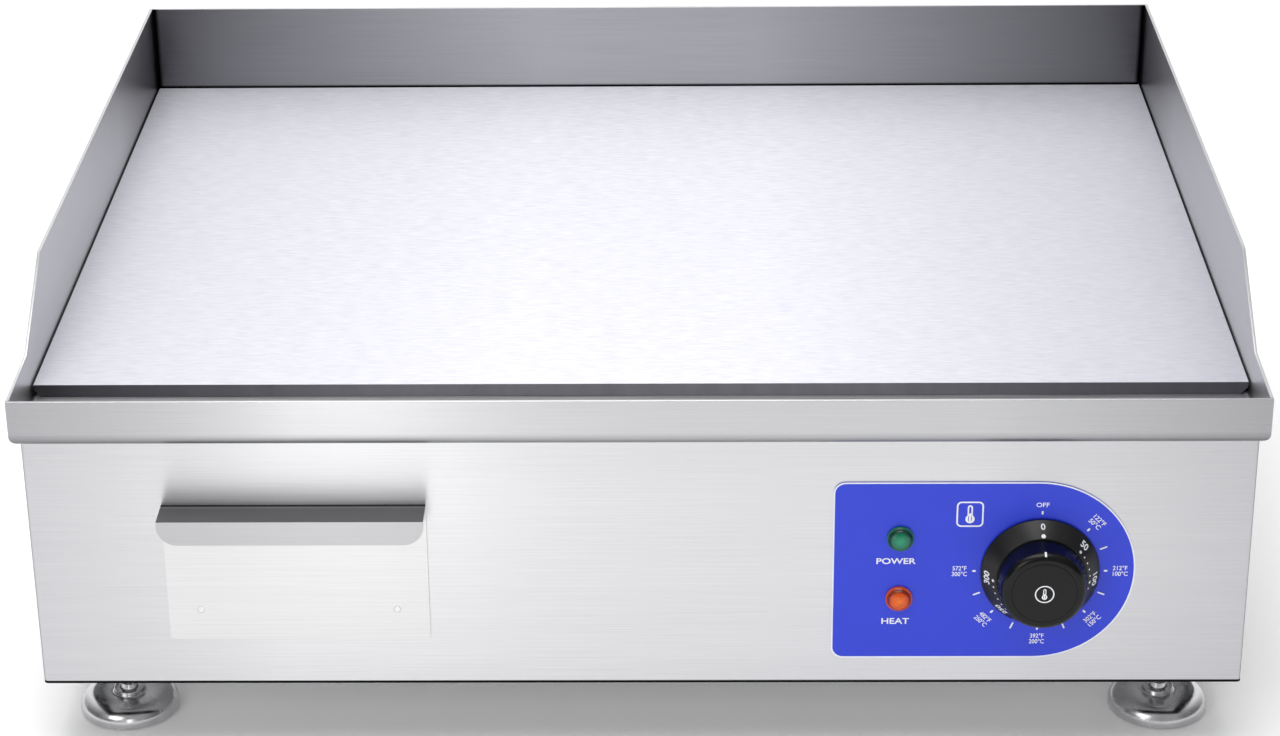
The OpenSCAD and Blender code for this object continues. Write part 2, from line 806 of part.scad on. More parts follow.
module element_clamps() {
    half = leg_x + element_d;
    color("silver") difference() {
        for (e = [-1, 1], y = clamp_y)
            block([e * element_x - half, y - clamp_w / 2, clamp_z1 - clamp_t],
                  [e * element_x + half, y + clamp_w / 2, clamp_z1]);
        for (x = clamp_stud_x, y = clamp_y)
            bar_z(x, y, clamp_z1 - clamp_t - 1, clamp_z1 + 1, stud_hole_d);
    }
}

module plate_studs() {
    color("silver") {
        for (x = clamp_stud_x, y = clamp_y) bar_z(x, y, stud_z0, z_floor, stud_d);
        bar_z(bulb_stud.x, bulb_stud.y, stud_z0, z_floor, stud_d);
    }
}

module stud_nuts() {
    color("silver") {
        for (x = clamp_stud_x, y = clamp_y)
            translate([x, y, clamp_z1 - clamp_t - nut_t])
                hex_nut(nut_d, nut_t, stud_d + screw_play);
        translate([bulb_stud.x, bulb_stud.y, clip_z1 - clip_t - nut_t])
            hex_nut(nut_d, nut_t, stud_d + screw_play);
    }
}

module sensing_bulb() {
    color("peru") bar_y(0, bulb_z, bulb_y0, bulb_y0 + bulb_len, bulb_d);
}

module bulb_clip() {
    color("silver") difference() {
        block([bulb_stud.x - 6, bulb_stud.y - 8, clip_z1 - clip_t],
              [bulb_d / 2 + 4, bulb_stud.y + 8, clip_z1]);
        bar_z(bulb_stud.x, bulb_stud.y, clip_z1 - clip_t - 1, clip_z1 + 1, stud_hole_d);
    }
}

// From the thermostat's back, under the board, up through it and along to the bulb.
module capillary_tube() {
    start = [knob_x - stat_w / 4, stat_y1, knob_z + stat_h / 4];
    under = board_z0 - 8;
    color("peru") swept([
        start, start + [0, 14, 0], [start.x - 20, start.y + 40, under],
        [tube_hole.x, tube_hole.y, under], [tube_hole.x, tube_hole.y, bulb_z],
        [0, bulb_y0 - 12, bulb_z], [0, bulb_y0, bulb_z]], capillary_d, 8);
}

// Holes through the shield and the board for the element legs and the capillary.
module shield_holes() {
    for (e = [-1, 1], s = [-1, 1])
        bar_z(e * element_x + s * leg_x, leg_y, board_z0 - 1, shield_z1 + 1, leg_hole_d);
    bar_z(tube_hole.x, tube_hole.y, board_z0 - 1, shield_z1 + 1, tube_hole_d);
}

// A shallow pan under the elements, hung by its side flanges from the casing's.
module heat_shield() {
    top = z_deck - casing_t;
    t = pan_sheet;
    color("silver") difference() {
        union() {
            block([-shield_x, shield_y0, shield_z0], [shield_x, shield_y1, top]);
            block([-hang_x, shield_y0, top - t], [hang_x, shield_y1, top]);
        }
        block([-shield_x + t, shield_y0 + t, shield_z1], [shield_x - t, shield_y1 - t, top + 1]);
        shield_holes();
        for (x = tray_stud_x, y = tray_stud_y)
            bar_z(x, y, shield_z1, z_deck, tray_stud_d + 2 * screw_play);
    }
}

module insulation_board() {
    edge = 6;
    color("beige") difference() {
        block([-shield_x + edge, shield_y0 + edge, board_z0],
              [shield_x - edge, shield_y1 - edge, shield_z0]);
        shield_holes();
    }
}

// ---- Mains connections ----

module terminal_block() {
    color("ivory") difference() {
        block([gland_x - block_w / 2, block_y, base_z1],
              [gland_x + block_w / 2, block_y + block_d, base_z1 + block_h]);
        for (i = [-1 : 1]) {
            bar_z(gland_x + i * way_pitch, way_y, base_z1 + 6, base_z1 + block_h + 1, 5);
            bar_y(gland_x + i * way_pitch, way_z, block_y - 1, block_y + block_d + 1, lead_d + 1);
        }
    }
}

module terminal_screws() {
    color("gold") for (i = [-1 : 1])
        bar_z(gland_x + i * way_pitch, way_y, way_z + 2.8, base_z1 + block_h - 2, 4.6);
}

module earth_stud() {
    color("gold") translate([earth_x, y_back, gland_z]) rotate([-90, 0, 0]) {
        translate([0, 0, -casing_t - 8]) cylinder(h = casing_t + 20, d = stud_d);
        cylinder(h = 1, d = 12);
        translate([0, 0, 1]) cylinder(h = 4, d = nut_d, $fn = 6);
        translate([0, 0, -casing_t - 4]) cylinder(h = 4, d = nut_d, $fn = 6);
    }
}

module cable_gland() {
    color("dimgray") translate([gland_x, y_back, gland_z]) rotate([-90, 0, 0]) difference() {
        union() {
            translate([0, 0, -casing_t - 9]) cylinder(h = casing_t + 10, d = gland_hole_d);
            cylinder(h = 6, d = gland_nut_size[0], $fn = 6);
            translate([0, 0, 6]) cylinder(h = 10, d = 24);
            translate([0, 0, 16]) cylinder(h = gland_reach - 16, d1 = 24, d2 = 16);
        }
        translate([0, 0, -20]) cylinder(h = 60, d = gland_bore_d);
    }
}

module gland_nut() {
    size = gland_nut_size;
    color("dimgray") translate([gland_x, y_back - casing_t - size[1], gland_z])
        rotate([-90, 0, 0]) hex_nut(size[0], size[1], gland_hole_d + screw_play);
}

// Leads run under the board from the terminal block to the thermostat and the elements.

module lead_live() {
    x = gland_x - way_pitch;
    color("saddlebrown") swept([
        [x, block_y, way_z], [x, block_y - 30, way_z],
        [knob_x + 8, stat_y1 + 40, knob_z - 8], [knob_x + 8, stat_y1, knob_z - 8]], lead_d);
}

// Thermostat to the right element's outer leg, and on to the left element's.
module lead_switched() {
    x = element_x + leg_x;
    color("black") {
        swept([[knob_x - 8, stat_y1, knob_z - 8], [knob_x - 8, stat_y1 + 30, knob_z - 8],
               [x + leg_share, leg_y - 40, lead_z - 20], [x + leg_share, leg_y, lead_z - 20],
               [x + leg_share, leg_y, leg_z0]], lead_d);
        swept([[x - leg_share, leg_y, leg_z0], [x - leg_share, leg_y, lead_z - 10],
               [x - 12, leg_y + 12, lead_z - 10], [-x + 12, leg_y + 12, lead_z - 10],
               [-x, leg_y, lead_z - 10], [-x, leg_y, leg_z0]], lead_d);
    }
}

// Terminal block to the right element's inner leg, and on to the left element's.
module lead_neutral() {
    x = element_x - leg_x;
    color("steelblue") {
        swept([[gland_x, block_y, way_z], [gland_x, block_y - 14, way_z],
               [x + leg_share, leg_y - 20, lead_z - 20], [x + leg_share, leg_y, lead_z - 20],
               [x + leg_share, leg_y, leg_z0]], lead_d);
        swept([[x - leg_share, leg_y, leg_z0], [x - leg_share, leg_y, lead_z - 10],
               [-x, leg_y, lead_z - 10], [-x, leg_y, leg_z0]], lead_d);
    }
}

casing();
rear_panel();
base_plate();
top_tray();
griddle_plate();
drain_spout();
heating_element_left();
heating_element_right();
element_clamps();
plate_studs();
stud_nuts();
heat_shield();
insulation_board();
thermostat();
thermostat_screws();
capillary_tube();
sensing_bulb();
bulb_clip();
fascia();
power_lens();
heat_lens();
lamp_bodies();
lamp_nuts();
terminal_block();
terminal_screws();
earth_stud();
cable_gland();
gland_nut();
drawer_runners();
tray_studs();
tray_nuts();
rear_screws();
base_screws();
foot_inserts();
lead_live();
lead_switched();
lead_neutral();
drawer_pan();
drawer_front();
drawer_rivets();
control_shaft();
knob_skirt();
knob_grip();
knob_cap();
for (i = [0 : 3]) {
    place = [i % 2 == 0 ? -foot_x : foot_x, foot_y[i < 2 ? 0 : 1], 0];
    translate(place) foot_bell();
    translate(place) foot_pad();
    translate(place) foot_stem();
}
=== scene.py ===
# %% [markdown]
# # A countertop griddle
#
# The griddle is folded stainless sheet, one thick steel plate, a printed blue panel and a
# few moulded pieces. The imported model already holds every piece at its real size, so this
# lesson spends its effort on finishes, printed marks, turned shapes and soft edges.

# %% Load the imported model
import math

import bmesh
import bpy
from mathutils import Matrix, Vector


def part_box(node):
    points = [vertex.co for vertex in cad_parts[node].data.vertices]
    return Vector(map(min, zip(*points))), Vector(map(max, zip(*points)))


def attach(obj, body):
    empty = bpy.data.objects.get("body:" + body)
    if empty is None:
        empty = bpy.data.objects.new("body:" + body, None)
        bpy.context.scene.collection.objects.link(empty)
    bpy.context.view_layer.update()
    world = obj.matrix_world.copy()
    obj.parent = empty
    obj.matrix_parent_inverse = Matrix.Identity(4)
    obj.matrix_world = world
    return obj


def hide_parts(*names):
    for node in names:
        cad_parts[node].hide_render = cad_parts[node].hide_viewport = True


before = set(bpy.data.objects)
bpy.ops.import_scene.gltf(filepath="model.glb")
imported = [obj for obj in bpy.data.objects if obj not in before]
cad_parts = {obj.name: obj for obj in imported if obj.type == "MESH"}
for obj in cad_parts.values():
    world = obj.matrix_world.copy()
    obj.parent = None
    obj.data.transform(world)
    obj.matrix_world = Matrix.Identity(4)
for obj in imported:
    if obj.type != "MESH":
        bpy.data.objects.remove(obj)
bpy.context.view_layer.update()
MM = 0.001

# %% [markdown]
# ## Helpers for colour and nodes
#
# Paint charts and screens give colours as sRGB hex codes, but shaders work on linear
# light, so one function turns the first into the second. A second small function adds a
# node with its settings, its links and, for a colour ramp, its stops in one call, which
# keeps each material below short enough to read from top to bottom. Two more put an
# object in the scene and turn one with modifiers into a plain mesh.

# %% Colour and node helpers
def linear(code):
    channels = [int(code[i:i + 2], 16) / 255 for i in (1, 3, 5)]
    return [c / 12.92 if c <= 0.04045 else ((c + 0.055) / 1.055) ** 2.4 for c in channels] + [1.0]


def add(tree, kind, inputs=None, stops=(), **settings):
    node = tree.nodes.new(kind)
    for name, value in settings.items():
        setattr(node, name, value)
    if stops:
        elements = node.color_ramp.elements
        while len(elements) < len(stops):
            elements.new(0.5)
        for element, (place, colour) in zip(elements, stops):
            element.position = place
            element.color = colour
    for name, value in (inputs or {}).items():
        if isinstance(value, bpy.types.NodeSocket):
            tree.links.new(value, node.inputs[name])
        else:
            node.inputs[name].default_value = value
    return node


def new_material(name, inputs):
    material = bpy.data.materials.new(name)
    material.use_nodes = True
    tree = material.node_tree
    shader = tree.nodes["Principled BSDF"]
    for socket, value in inputs.items():
        shader.inputs[socket].default_value = value
    material.diffuse_color = inputs["Base Color"]
    return material, tree, shader


def in_scene(name, data):
    piece = bpy.data.objects.new(name, data)
    bpy.context.scene.collection.objects.link(piece)
    return piece


def plain_mesh(piece):
    ready = piece.evaluated_get(bpy.context.evaluated_depsgraph_get())
    return bpy.data.meshes.new_from_object(ready)


print("helpers ready")

# %% [markdown]
# ## Stains and painted shade on one sheet
#
# A folded sheet isn't one even tone. One function paints real marks, such as a dark seam at a corner or
# mill scale on an edge, and painted shade: painted shadows under edges and at the roots of folds, and
# darker tone where a face lies in shade. It multiplies the colour within its limits. Each limit is a
# value that fades it in from one place to another: a position along an axis, or the way the surface
# faces.

# %% Stains and painted shade
# Multiplies a colour into the base colour: real stains and painted shade alike.
def stain_and_shade(tree, shader, code, *limits):
    share = 1.0
    for value, start, end in limits:
        within = add(tree, "ShaderNodeMapRange", {
            "Value": value, "From Min": start, "From Max": end})
        share = add(tree, "ShaderNodeMath", {0: within.outputs[0], 1: share},
                    operation="MULTIPLY").outputs[0]
    under = shader.inputs["Base Color"].links[0].from_socket
    mixed = add(tree, "ShaderNodeMix", {0: share, 6: under, 7: linear(code)},
                data_type="RGBA", blend_type="MULTIPLY")
    tree.links.new(mixed.outputs[2], shader.inputs["Base Color"])


def axes_of(tree):
    place = add(tree, "ShaderNodeTexCoord")
    at = add(tree, "ShaderNodeSeparateXYZ", {"Vector": place.outputs["Object"]}).outputs
    facing = add(tree, "ShaderNodeSeparateXYZ", {"Vector": place.outputs["Normal"]}).outputs
    out, sideways, upright = [
        add(tree, "ShaderNodeMath", {0: value}, operation="ABSOLUTE").outputs[0]
        for value in (at["X"], facing["X"], facing["Y"])]
    return at, facing, out, sideways, upright


print("stains ready")

# %% [markdown]
# ## Brushed stainless sheet
#
# Number 4 finish stainless is rolled bright and then sanded with a belt in one direction.
# The belt leaves scratches a fraction of a millimetre wide and many centimetres long, so
# a highlight smears across them and stays sharp along them. Two stretched noises make the
# scratches: a fine one for bump and roughness, and a broad one for slow changes of tone.
# The real scratches are about 0.05 mm wide. They are drawn 0.5 mm wide, so that they
# show from a step away. Faces that look sideways have their grain running front to back.

# %% Brushed stainless
def grain_space(tree, long_mm, wide_mm):
    place = add(tree, "ShaderNodeTexCoord")
    facing = add(tree, "ShaderNodeSeparateXYZ", {"Vector": place.outputs["Normal"]})
    size = add(tree, "ShaderNodeMath", {0: facing.outputs["X"]}, operation="ABSOLUTE")
    sideways = add(tree, "ShaderNodeMath", {0: size.outputs[0], 1: 0.7},
                   operation="GREATER_THAN").outputs[0]
    long_scale = 1 / (long_mm * MM)
    wide_scale = 1 / (wide_mm * MM)
    across = add(tree, "ShaderNodeMapping", {
        "Vector": place.outputs["Object"], "Scale": (long_scale, wide_scale, wide_scale)})
    along = add(tree, "ShaderNodeMapping", {
        "Vector": place.outputs["Object"], "Scale": (wide_scale, long_scale, wide_scale)})
    turned = add(tree, "ShaderNodeMix", {
        0: sideways, 4: across.outputs[0], 5: along.outputs[0]}, data_type="VECTOR")
    return turned.outputs[1], sideways, place


def brushed(name, colour, dark, roughness):
    scratch_um, broad_share = 1.5, 0.18
    material, tree, shader = new_material(name, {
        "Base Color": linear(colour), "Metallic": 1.0, "Roughness": roughness,
        "Anisotropic": 0.75})
    fine_space, sideways, place = grain_space(tree, 60, 0.5)
    broad_space = grain_space(tree, 400, 12)[0]
    fine = add(tree, "ShaderNodeTexNoise", {
        "Vector": fine_space, "Scale": 1.0, "Detail": 3.0, "Roughness": 0.6})
    broad = add(tree, "ShaderNodeTexNoise", {
        "Vector": broad_space, "Scale": 1.0, "Detail": 2.0, "Roughness": 0.5})
    both = add(tree, "ShaderNodeMix", {
        0: broad_share, 2: fine.outputs["Fac"], 3: broad.outputs["Fac"]}, data_type="FLOAT")
    tone = add(tree, "ShaderNodeValToRGB", {"Fac": both.outputs[0]},
               stops=[(0.3, linear(dark)), (0.66, linear(colour))])
    tree.links.new(tone.outputs["Color"], shader.inputs["Base Color"])
    spread = add(tree, "ShaderNodeMapRange", {
        "Value": fine.outputs["Fac"], "From Min": 0.3, "From Max": 0.7,
        "To Min": roughness - 0.04, "To Max": roughness + 0.05})
    tree.links.new(spread.outputs[0], shader.inputs["Roughness"])
    bump = add(tree, "ShaderNodeBump", {
        "Height": fine.outputs["Fac"], "Distance": scratch_um * 1e-6, "Strength": 0.6})
    tree.links.new(bump.outputs[0], shader.inputs["Normal"])
    grain = add(tree, "ShaderNodeMix", {0: sideways, 4: (1, 0, 0), 5: (0, 1, 0)},
                data_type="VECTOR")
    tangent = add(tree, "ShaderNodeVectorMath", {
        0: place.outputs["Normal"], 1: grain.outputs[1]}, operation="CROSS_PRODUCT")
    tree.links.new(tangent.outputs[0], shader.inputs["Tangent"])
    return material, tree, shader


stainless = brushed("brushed stainless", "#E4E4E5", "#D6D6D8", 0.36)[0]
print("made", stainless.name)

# %% [markdown]
# ## The casing's sheet
#
# The casing's lower edge carries a painted shadow: a thin dark line under it. Its two front corners are
# bent, and each bend carries a thin line of painted shade on the front face. The front panel has painted
# shade towards both ends, so it's brightest in the middle.

# %% Casing steel
def casing_grain_and_shade():
    material, tree, shader = brushed("brushed stainless casing", "#DEDEDF", "#D1D1D3", 0.36)
    low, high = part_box("casing")
    at, _, out, _, upright = axes_of(tree)
    # Painted shadow: a thin dark line along the lower edge, where shade falls under the casing.
    stain_and_shade(tree, shader, "#1E1E20", (at["Z"], low.z + 1.5 * MM, low.z + 1.1 * MM))
    # Painted shade: a thin dark line on the front face at each bent corner.
    stain_and_shade(tree, shader, "#7C7C80", (upright, 0.4, 0.6),
          (out, high.x - 0.9 * MM, high.x - 0.3 * MM))
    # Painted shade: the front panel darker towards both ends.
    stain_and_shade(tree, shader, "#E6E6E8", (upright, 0.4, 0.6), (out, high.x - 110 * MM, high.x))
    return material


casing_steel = casing_grain_and_shade()
print("made", casing_steel.name)

# %% [markdown]
# ## The tray's sheet
#
# The tray is the same sheet, a shade greyer. Its back wall is painted darker as painted shade, deepest
# towards the corners, where it ends in a dark seam against each guard, with a painted shadow along its
# foot just above the plate. The side walls have painted shade towards the back. The front lip is folded
# under; its lowest millimetres carry painted shade, and it is painted darker towards both ends.

# %% Tray steel
def tray_grain_and_shade():
    material, tree, shader = brushed("brushed stainless tray", "#C9C9CA", "#BDBDBF", 0.33)
    low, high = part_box("top_tray")
    plate_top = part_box("griddle_plate")[1].z
    at, facing, out, sideways, _ = axes_of(tree)
    wall = ((facing["Y"], -0.5, -0.7), (at["Y"], 0.0, 100 * MM))
    # Painted shade: the whole back wall a little darker.
    stain_and_shade(tree, shader, "#E8E8EA", *wall)
    # Painted shade: the back wall darker towards the corners.
    stain_and_shade(tree, shader, "#9C9CA0", *wall, (out, 60 * MM, high.x))
    stain_and_shade(tree, shader, "#202022", *wall, (out, high.x - 5 * MM, high.x - 3 * MM))
    # Painted shadow: a dark line along the back wall's foot, just above the plate.
    stain_and_shade(tree, shader, "#303034", *wall, (at["Z"], plate_top + 1.6 * MM, plate_top + 0.6 * MM))
    # Painted shade: the side walls darker towards the back.
    stain_and_shade(tree, shader, "#8C8C8E", (sideways, 0.5, 0.7), (at["Y"], 90 * MM, high.y))
    lip = (at["Y"], low.y + 3 * MM, low.y + 1 * MM)
    # Painted shade: the front lip darker over its lowest millimetres.
    stain_and_shade(tree, shader, "#98989A", lip, (at["Z"], low.z + 6.5 * MM, low.z))
    # Painted shade: the front lip darker towards both ends.
    stain_and_shade(tree, shader, "#D8D8DA", lip, (out, 150 * MM, high.x))
    return material


tray_steel = tray_grain_and_shade()
print("made", tray_steel.name)

# %% [markdown]
# ## The drawer's front
#
# The drawer's front is cut from a brighter sheet. Its handle is folded from the same piece. The handle's
# top has painted shade, with a painted shadow as a dark line at its root, and its lip has painted shade
# that makes it a touch greyer than the panel behind it.

# %% Drawer steel
def drawer_grain_and_shade():
    material, tree, shader = brushed("brushed stainless drawer", "#DDDDDD", "#D3D3D4", 0.36)
    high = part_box("drawer_front")[1]
    panel_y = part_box("casing")[0].y
    at, facing = axes_of(tree)[:2]
    # Painted shade: the handle's lip, standing out in front, a touch greyer.
    stain_and_shade(tree, shader, "#D6D6D7", (at["Y"], panel_y - 3 * MM, panel_y - 4 * MM))
    top = ((facing["Z"], 0.4, 0.8), (at["Z"], high.z - 26 * MM, high.z - 24 * MM))
    # Painted shade: the handle's top darker.
    stain_and_shade(tree, shader, "#A2A2A4", *top, (at["Y"], panel_y + 0.2 * MM, panel_y - 1.6 * MM))
    # Painted shadow: a dark line along the handle's root, against the panel.
    stain_and_shade(tree, shader, "#3C3C3E", *top, (at["Y"], panel_y - 2.2 * MM, panel_y - 1.5 * MM))
    return material


drawer_steel = drawer_grain_and_shade()
print("made", drawer_steel.name)

# %% [markdown]
# ## Ground griddle plate
#
# The cooking plate is thick mild steel. Its top is ground flat and thinly chromed, which
# gives a cool, faintly violet white. The grinding wheel leaves short wavy marks across
# the width, and a slow noise bends them. Its edges are never ground: they keep
# the dark mill scale, which is why the front edge shows as a dark band.

# %% Ground plate
def ground_plate():
    material, tree, shader = new_material("ground chromed plate", {
        "Base Color": linear("#E2E2E8"), "Metallic": 0.5, "Roughness": 0.58,
        "Anisotropic": 0.3})
    place = add(tree, "ShaderNodeTexCoord")
    sway = add(tree, "ShaderNodeTexNoise", {
        "Vector": place.outputs["Object"], "Scale": 1 / (25 * MM), "Detail": 1.0})
    centred = add(tree, "ShaderNodeVectorMath", {
        0: sway.outputs["Color"], 1: (-0.5, -0.5, -0.5)}, operation="ADD")
    bent = add(tree, "ShaderNodeVectorMath", {
        0: centred.outputs[0], 1: (0, 3 * MM, 0)}, operation="MULTIPLY")
    warped = add(tree, "ShaderNodeVectorMath", {
        0: place.outputs["Object"], 1: bent.outputs[0]}, operation="ADD")
    stretched = add(tree, "ShaderNodeMapping", {
        "Vector": warped.outputs[0], "Scale": (1 / (9 * MM), 1 / (1.1 * MM), 1.0)})
    marks = add(tree, "ShaderNodeTexNoise", {
        "Vector": stretched.outputs[0], "Scale": 1.0, "Detail": 4.0, "Roughness": 0.65})
    tone = add(tree, "ShaderNodeValToRGB", {"Fac": marks.outputs["Fac"]},
               stops=[(0.3, linear("#D2D2DB")), (0.7, linear("#E6E6EC"))])
    tree.links.new(tone.outputs["Color"], shader.inputs["Base Color"])
    at, facing = axes_of(tree)[:2]
    # Painted shade: the top darker towards both ends, most towards the right.
    stain_and_shade(tree, shader, "#E9E9EA", (at["X"], -60 * MM, -270 * MM))
    stain_and_shade(tree, shader, "#DEDEE0", (at["X"], 60 * MM, 270 * MM))
    edge = (facing["Z"], 0.8, 0.5)
    stain_and_shade(tree, shader, "#9A9A9C", edge)
    # Painted shade: the mill-scale edge band darker towards both ends, most towards the left.
    stain_and_shade(tree, shader, "#8C8C90", edge, (at["X"], -120 * MM, -270 * MM))
    stain_and_shade(tree, shader, "#C4C4C8", edge, (at["X"], 120 * MM, 270 * MM))
    spread = add(tree, "ShaderNodeMapRange", {
        "Value": marks.outputs["Fac"], "From Min": 0.3, "From Max": 0.7,
        "To Min": 0.52, "To Max": 0.64})
    tree.links.new(spread.outputs[0], shader.inputs["Roughness"])
    bump = add(tree, "ShaderNodeBump", {
        "Height": marks.outputs["Fac"], "Distance": 12e-6, "Strength": 0.7})
    tree.links.new(bump.outputs[0], shader.inputs["Normal"])
    tangent = add(tree, "ShaderNodeVectorMath", {
        0: place.outputs["Normal"], 1: (1, 0, 0)}, operation="CROSS_PRODUCT")
    tree.links.new(tangent.outputs[0], shader.inputs["Tangent"])
    return material


plate_steel = ground_plate()
print("made", plate_steel.name)

# %% [markdown]
# ## Metals that don't show a grain
#
# The feet are pressed and polished, the screws are zinc plated, and the heater's sheath is
# dark with oxide. Each is a metal with a little cloudiness in its roughness: a real one is
# never evenly clean.

# %% Plain metals
def clouded(name, colour, roughness, spot_mm):
    change = 0.08
    material, tree, shader = new_material(name, {
        "Base Color": linear(colour), "Metallic": 1.0, "Roughness": roughness})
    place = add(tree, "ShaderNodeTexCoord")
    cloud = add(tree, "ShaderNodeTexNoise", {
        "Vector": place.outputs["Object"], "Scale": 1 / (spot_mm * MM), "Detail": 4.0})
    base = linear(colour)
    darker = [c * 0.9 for c in base[:3]] + [1.0]
    tone = add(tree, "ShaderNodeValToRGB", {"Fac": cloud.outputs["Fac"]},
               stops=[(0.35, darker), (0.65, base)])
    tree.links.new(tone.outputs["Color"], shader.inputs["Base Color"])
    spread = add(tree, "ShaderNodeMapRange", {
        "Value": cloud.outputs["Fac"], "From Min": 0.3, "From Max": 0.7,
        "To Min": max(roughness - change, 0.03), "To Max": roughness + change})
    tree.links.new(spread.outputs[0], shader.inputs["Roughness"])
    bump = add(tree, "ShaderNodeBump", {
        "Height": cloud.outputs["Fac"], "Distance": 4e-6, "Strength": 0.4})
    tree.links.new(bump.outputs[0], shader.inputs["Normal"])
    return material


polished = clouded("polished stainless", "#D2D2D4", 0.22, 6)
zinc = clouded("zinc plated steel", "#B9BDC2", 0.3, 2)
oxide = clouded("oxidised heater sheath", "#3A3836", 0.5, 3)
brass = clouded("turned brass", "#C9A24E", 0.28, 2)
copper = clouded("drawn copper", "#B87350", 0.3, 3)
print("made five plain metals")

# %% [markdown]
# ## Plastics, rubber and ceramic
#
# The knob is black phenolic: hard, slightly glossy, with a fine texture from its mould.
# The panel is a polycarbonate film printed from behind, so its colour lies under a clear
# gloss. The same small function makes these, with a coat where the real one has one.

# %% Moulded and printed materials
def moulded(name, colour, roughness, texture_mm=0.35, coat=0.0, texture_um=6.0, mottle=0.08,
            shine=0.5):
    material, tree, shader = new_material(name, {
        "Base Color": linear(colour), "Roughness": roughness, "IOR": 1.5,
        "Specular IOR Level": shine, "Coat Weight": coat, "Coat Roughness": 0.12})
    place = add(tree, "ShaderNodeTexCoord")
    grain = add(tree, "ShaderNodeTexNoise", {
        "Vector": place.outputs["Object"], "Scale": 1 / (texture_mm * MM), "Detail": 2.0})
    bump = add(tree, "ShaderNodeBump", {
        "Height": grain.outputs["Fac"], "Distance": texture_um * 1e-6, "Strength": 0.5})
    tree.links.new(bump.outputs[0], shader.inputs["Normal"])
    cloud = add(tree, "ShaderNodeTexNoise", {
        "Vector": place.outputs["Object"], "Scale": 1 / (8 * MM), "Detail": 3.0})
    base = linear(colour)
    darker = [c * (1 - mottle) for c in base[:3]] + [1.0]
    tone = add(tree, "ShaderNodeValToRGB", {"Fac": cloud.outputs["Fac"]},
               stops=[(0.35, darker), (0.65, base)])
    tree.links.new(tone.outputs["Color"], shader.inputs["Base Color"])
    return material


phenolic = moulded("black phenolic", "#09090A", 0.24, shine=0.25)
skirt_phenolic = moulded("satin black phenolic", "#121213", 0.34, shine=0.4)
film = moulded("blue polycarbonate film", "#1C38D6", 0.42, texture_mm=0.25, coat=0.04,
               texture_um=2, mottle=0.04)
ink = moulded("white screen ink", "#F4F5F8", 0.5)
rim_film = moulded("clear film edge", "#F0F2FA", 0.3)
rubber = moulded("moulded rubber", "#1C1C1C", 0.75, texture_mm=0.6, texture_um=14)
nylon = moulded("black nylon", "#202123", 0.45)
nylon_white = moulded("white nylon", "#E8E7E1", 0.45)
ceramic = moulded("steatite ceramic", "#DED6C4", 0.5, texture_mm=0.5)
fibre = moulded("ceramic fibre board", "#D9CDB4", 0.9, texture_mm=1.2, texture_um=90, mottle=0.22)
brown_sleeve = moulded("brown silicone sleeve", "#5C3520", 0.5)
black_sleeve = moulded("black silicone sleeve", "#1B1B1B", 0.5)
blue_sleeve = moulded("blue silicone sleeve", "#3566B8", 0.5)
print("made the plastics, rubber and ceramic")

# %% [markdown]
# ## Lamp lenses
#
# A lamp's lens is coloured acrylic, clear at the surface and frosted inside. Its middle is painted
# brighter, a painted glow standing for light from the room, its bevel is painted darker, a painted
# shade, and its inner face has a fine pattern of pyramids that breaks up the lamp behind it.

# %% Acrylic lenses
# bright is the painted glow in the middle, deep the painted shade at the bevel.
def lens_acrylic(name, node, bright, colour, deep):
    low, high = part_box(node)
    middle = (low + high) / 2
    material, tree, shader = new_material(name, {
        "Base Color": linear(colour), "Roughness": 0.16, "IOR": 1.49,
        "Coat Weight": 0.2, "Coat Roughness": 0.04, "Specular IOR Level": 0.3,
        "Subsurface Weight": 0.2, "Subsurface Scale": 1.5 * MM})
    place = add(tree, "ShaderNodeTexCoord")
    centred = add(tree, "ShaderNodeVectorMath", {
        0: place.outputs["Object"], 1: (-middle.x, 0, -middle.z)}, operation="ADD")
    flat = add(tree, "ShaderNodeVectorMath", {0: centred.outputs[0], 1: (1, 0, 1)},
               operation="MULTIPLY")
    radius = add(tree, "ShaderNodeVectorMath", {0: flat.outputs[0]}, operation="LENGTH")
    out = add(tree, "ShaderNodeMapRange", {
        "Value": radius.outputs["Value"], "From Min": 0, "From Max": (high.x - low.x) / 2})
    # Painted glow in the middle, and a painted darker ring at the bevel.
    tone = add(tree, "ShaderNodeValToRGB", {"Fac": out.outputs[0]}, stops=[
        (0.1, linear(bright)), (0.62, linear(colour)), (0.8, linear(deep)), (1.0, linear(colour))])
    pyramids = add(tree, "ShaderNodeTexVoronoi", {
        "Vector": place.outputs["Object"], "Scale": 1 / (1.1 * MM)})
    dim = add(tree, "ShaderNodeMapRange", {
        "Value": pyramids.outputs["Distance"], "From Min": 0.0, "From Max": 0.9,
        "To Min": 1.0, "To Max": 0.75})
    shaded = add(tree, "ShaderNodeMix", {0: 1.0, 6: tone.outputs["Color"], 7: dim.outputs[0]},
                 data_type="RGBA", blend_type="MULTIPLY")
    tree.links.new(shaded.outputs[2], shader.inputs["Base Color"])
    bump = add(tree, "ShaderNodeBump", {
        "Height": pyramids.outputs["Distance"], "Distance": 50e-6, "Strength": 0.3}, invert=True)
    tree.links.new(bump.outputs[0], shader.inputs["Normal"])
    return material


# Each lens: a painted glow colour, its own colour, and a painted shade colour for the bevel.
green_lens = lens_acrylic("green lamp acrylic", "power_lens", "#1F9C76", "#0C7556", "#043024")
orange_lens = lens_acrylic("orange lamp acrylic", "heat_lens", "#F7781C", "#E2540F", "#7C2206")
print("made the lens materials")

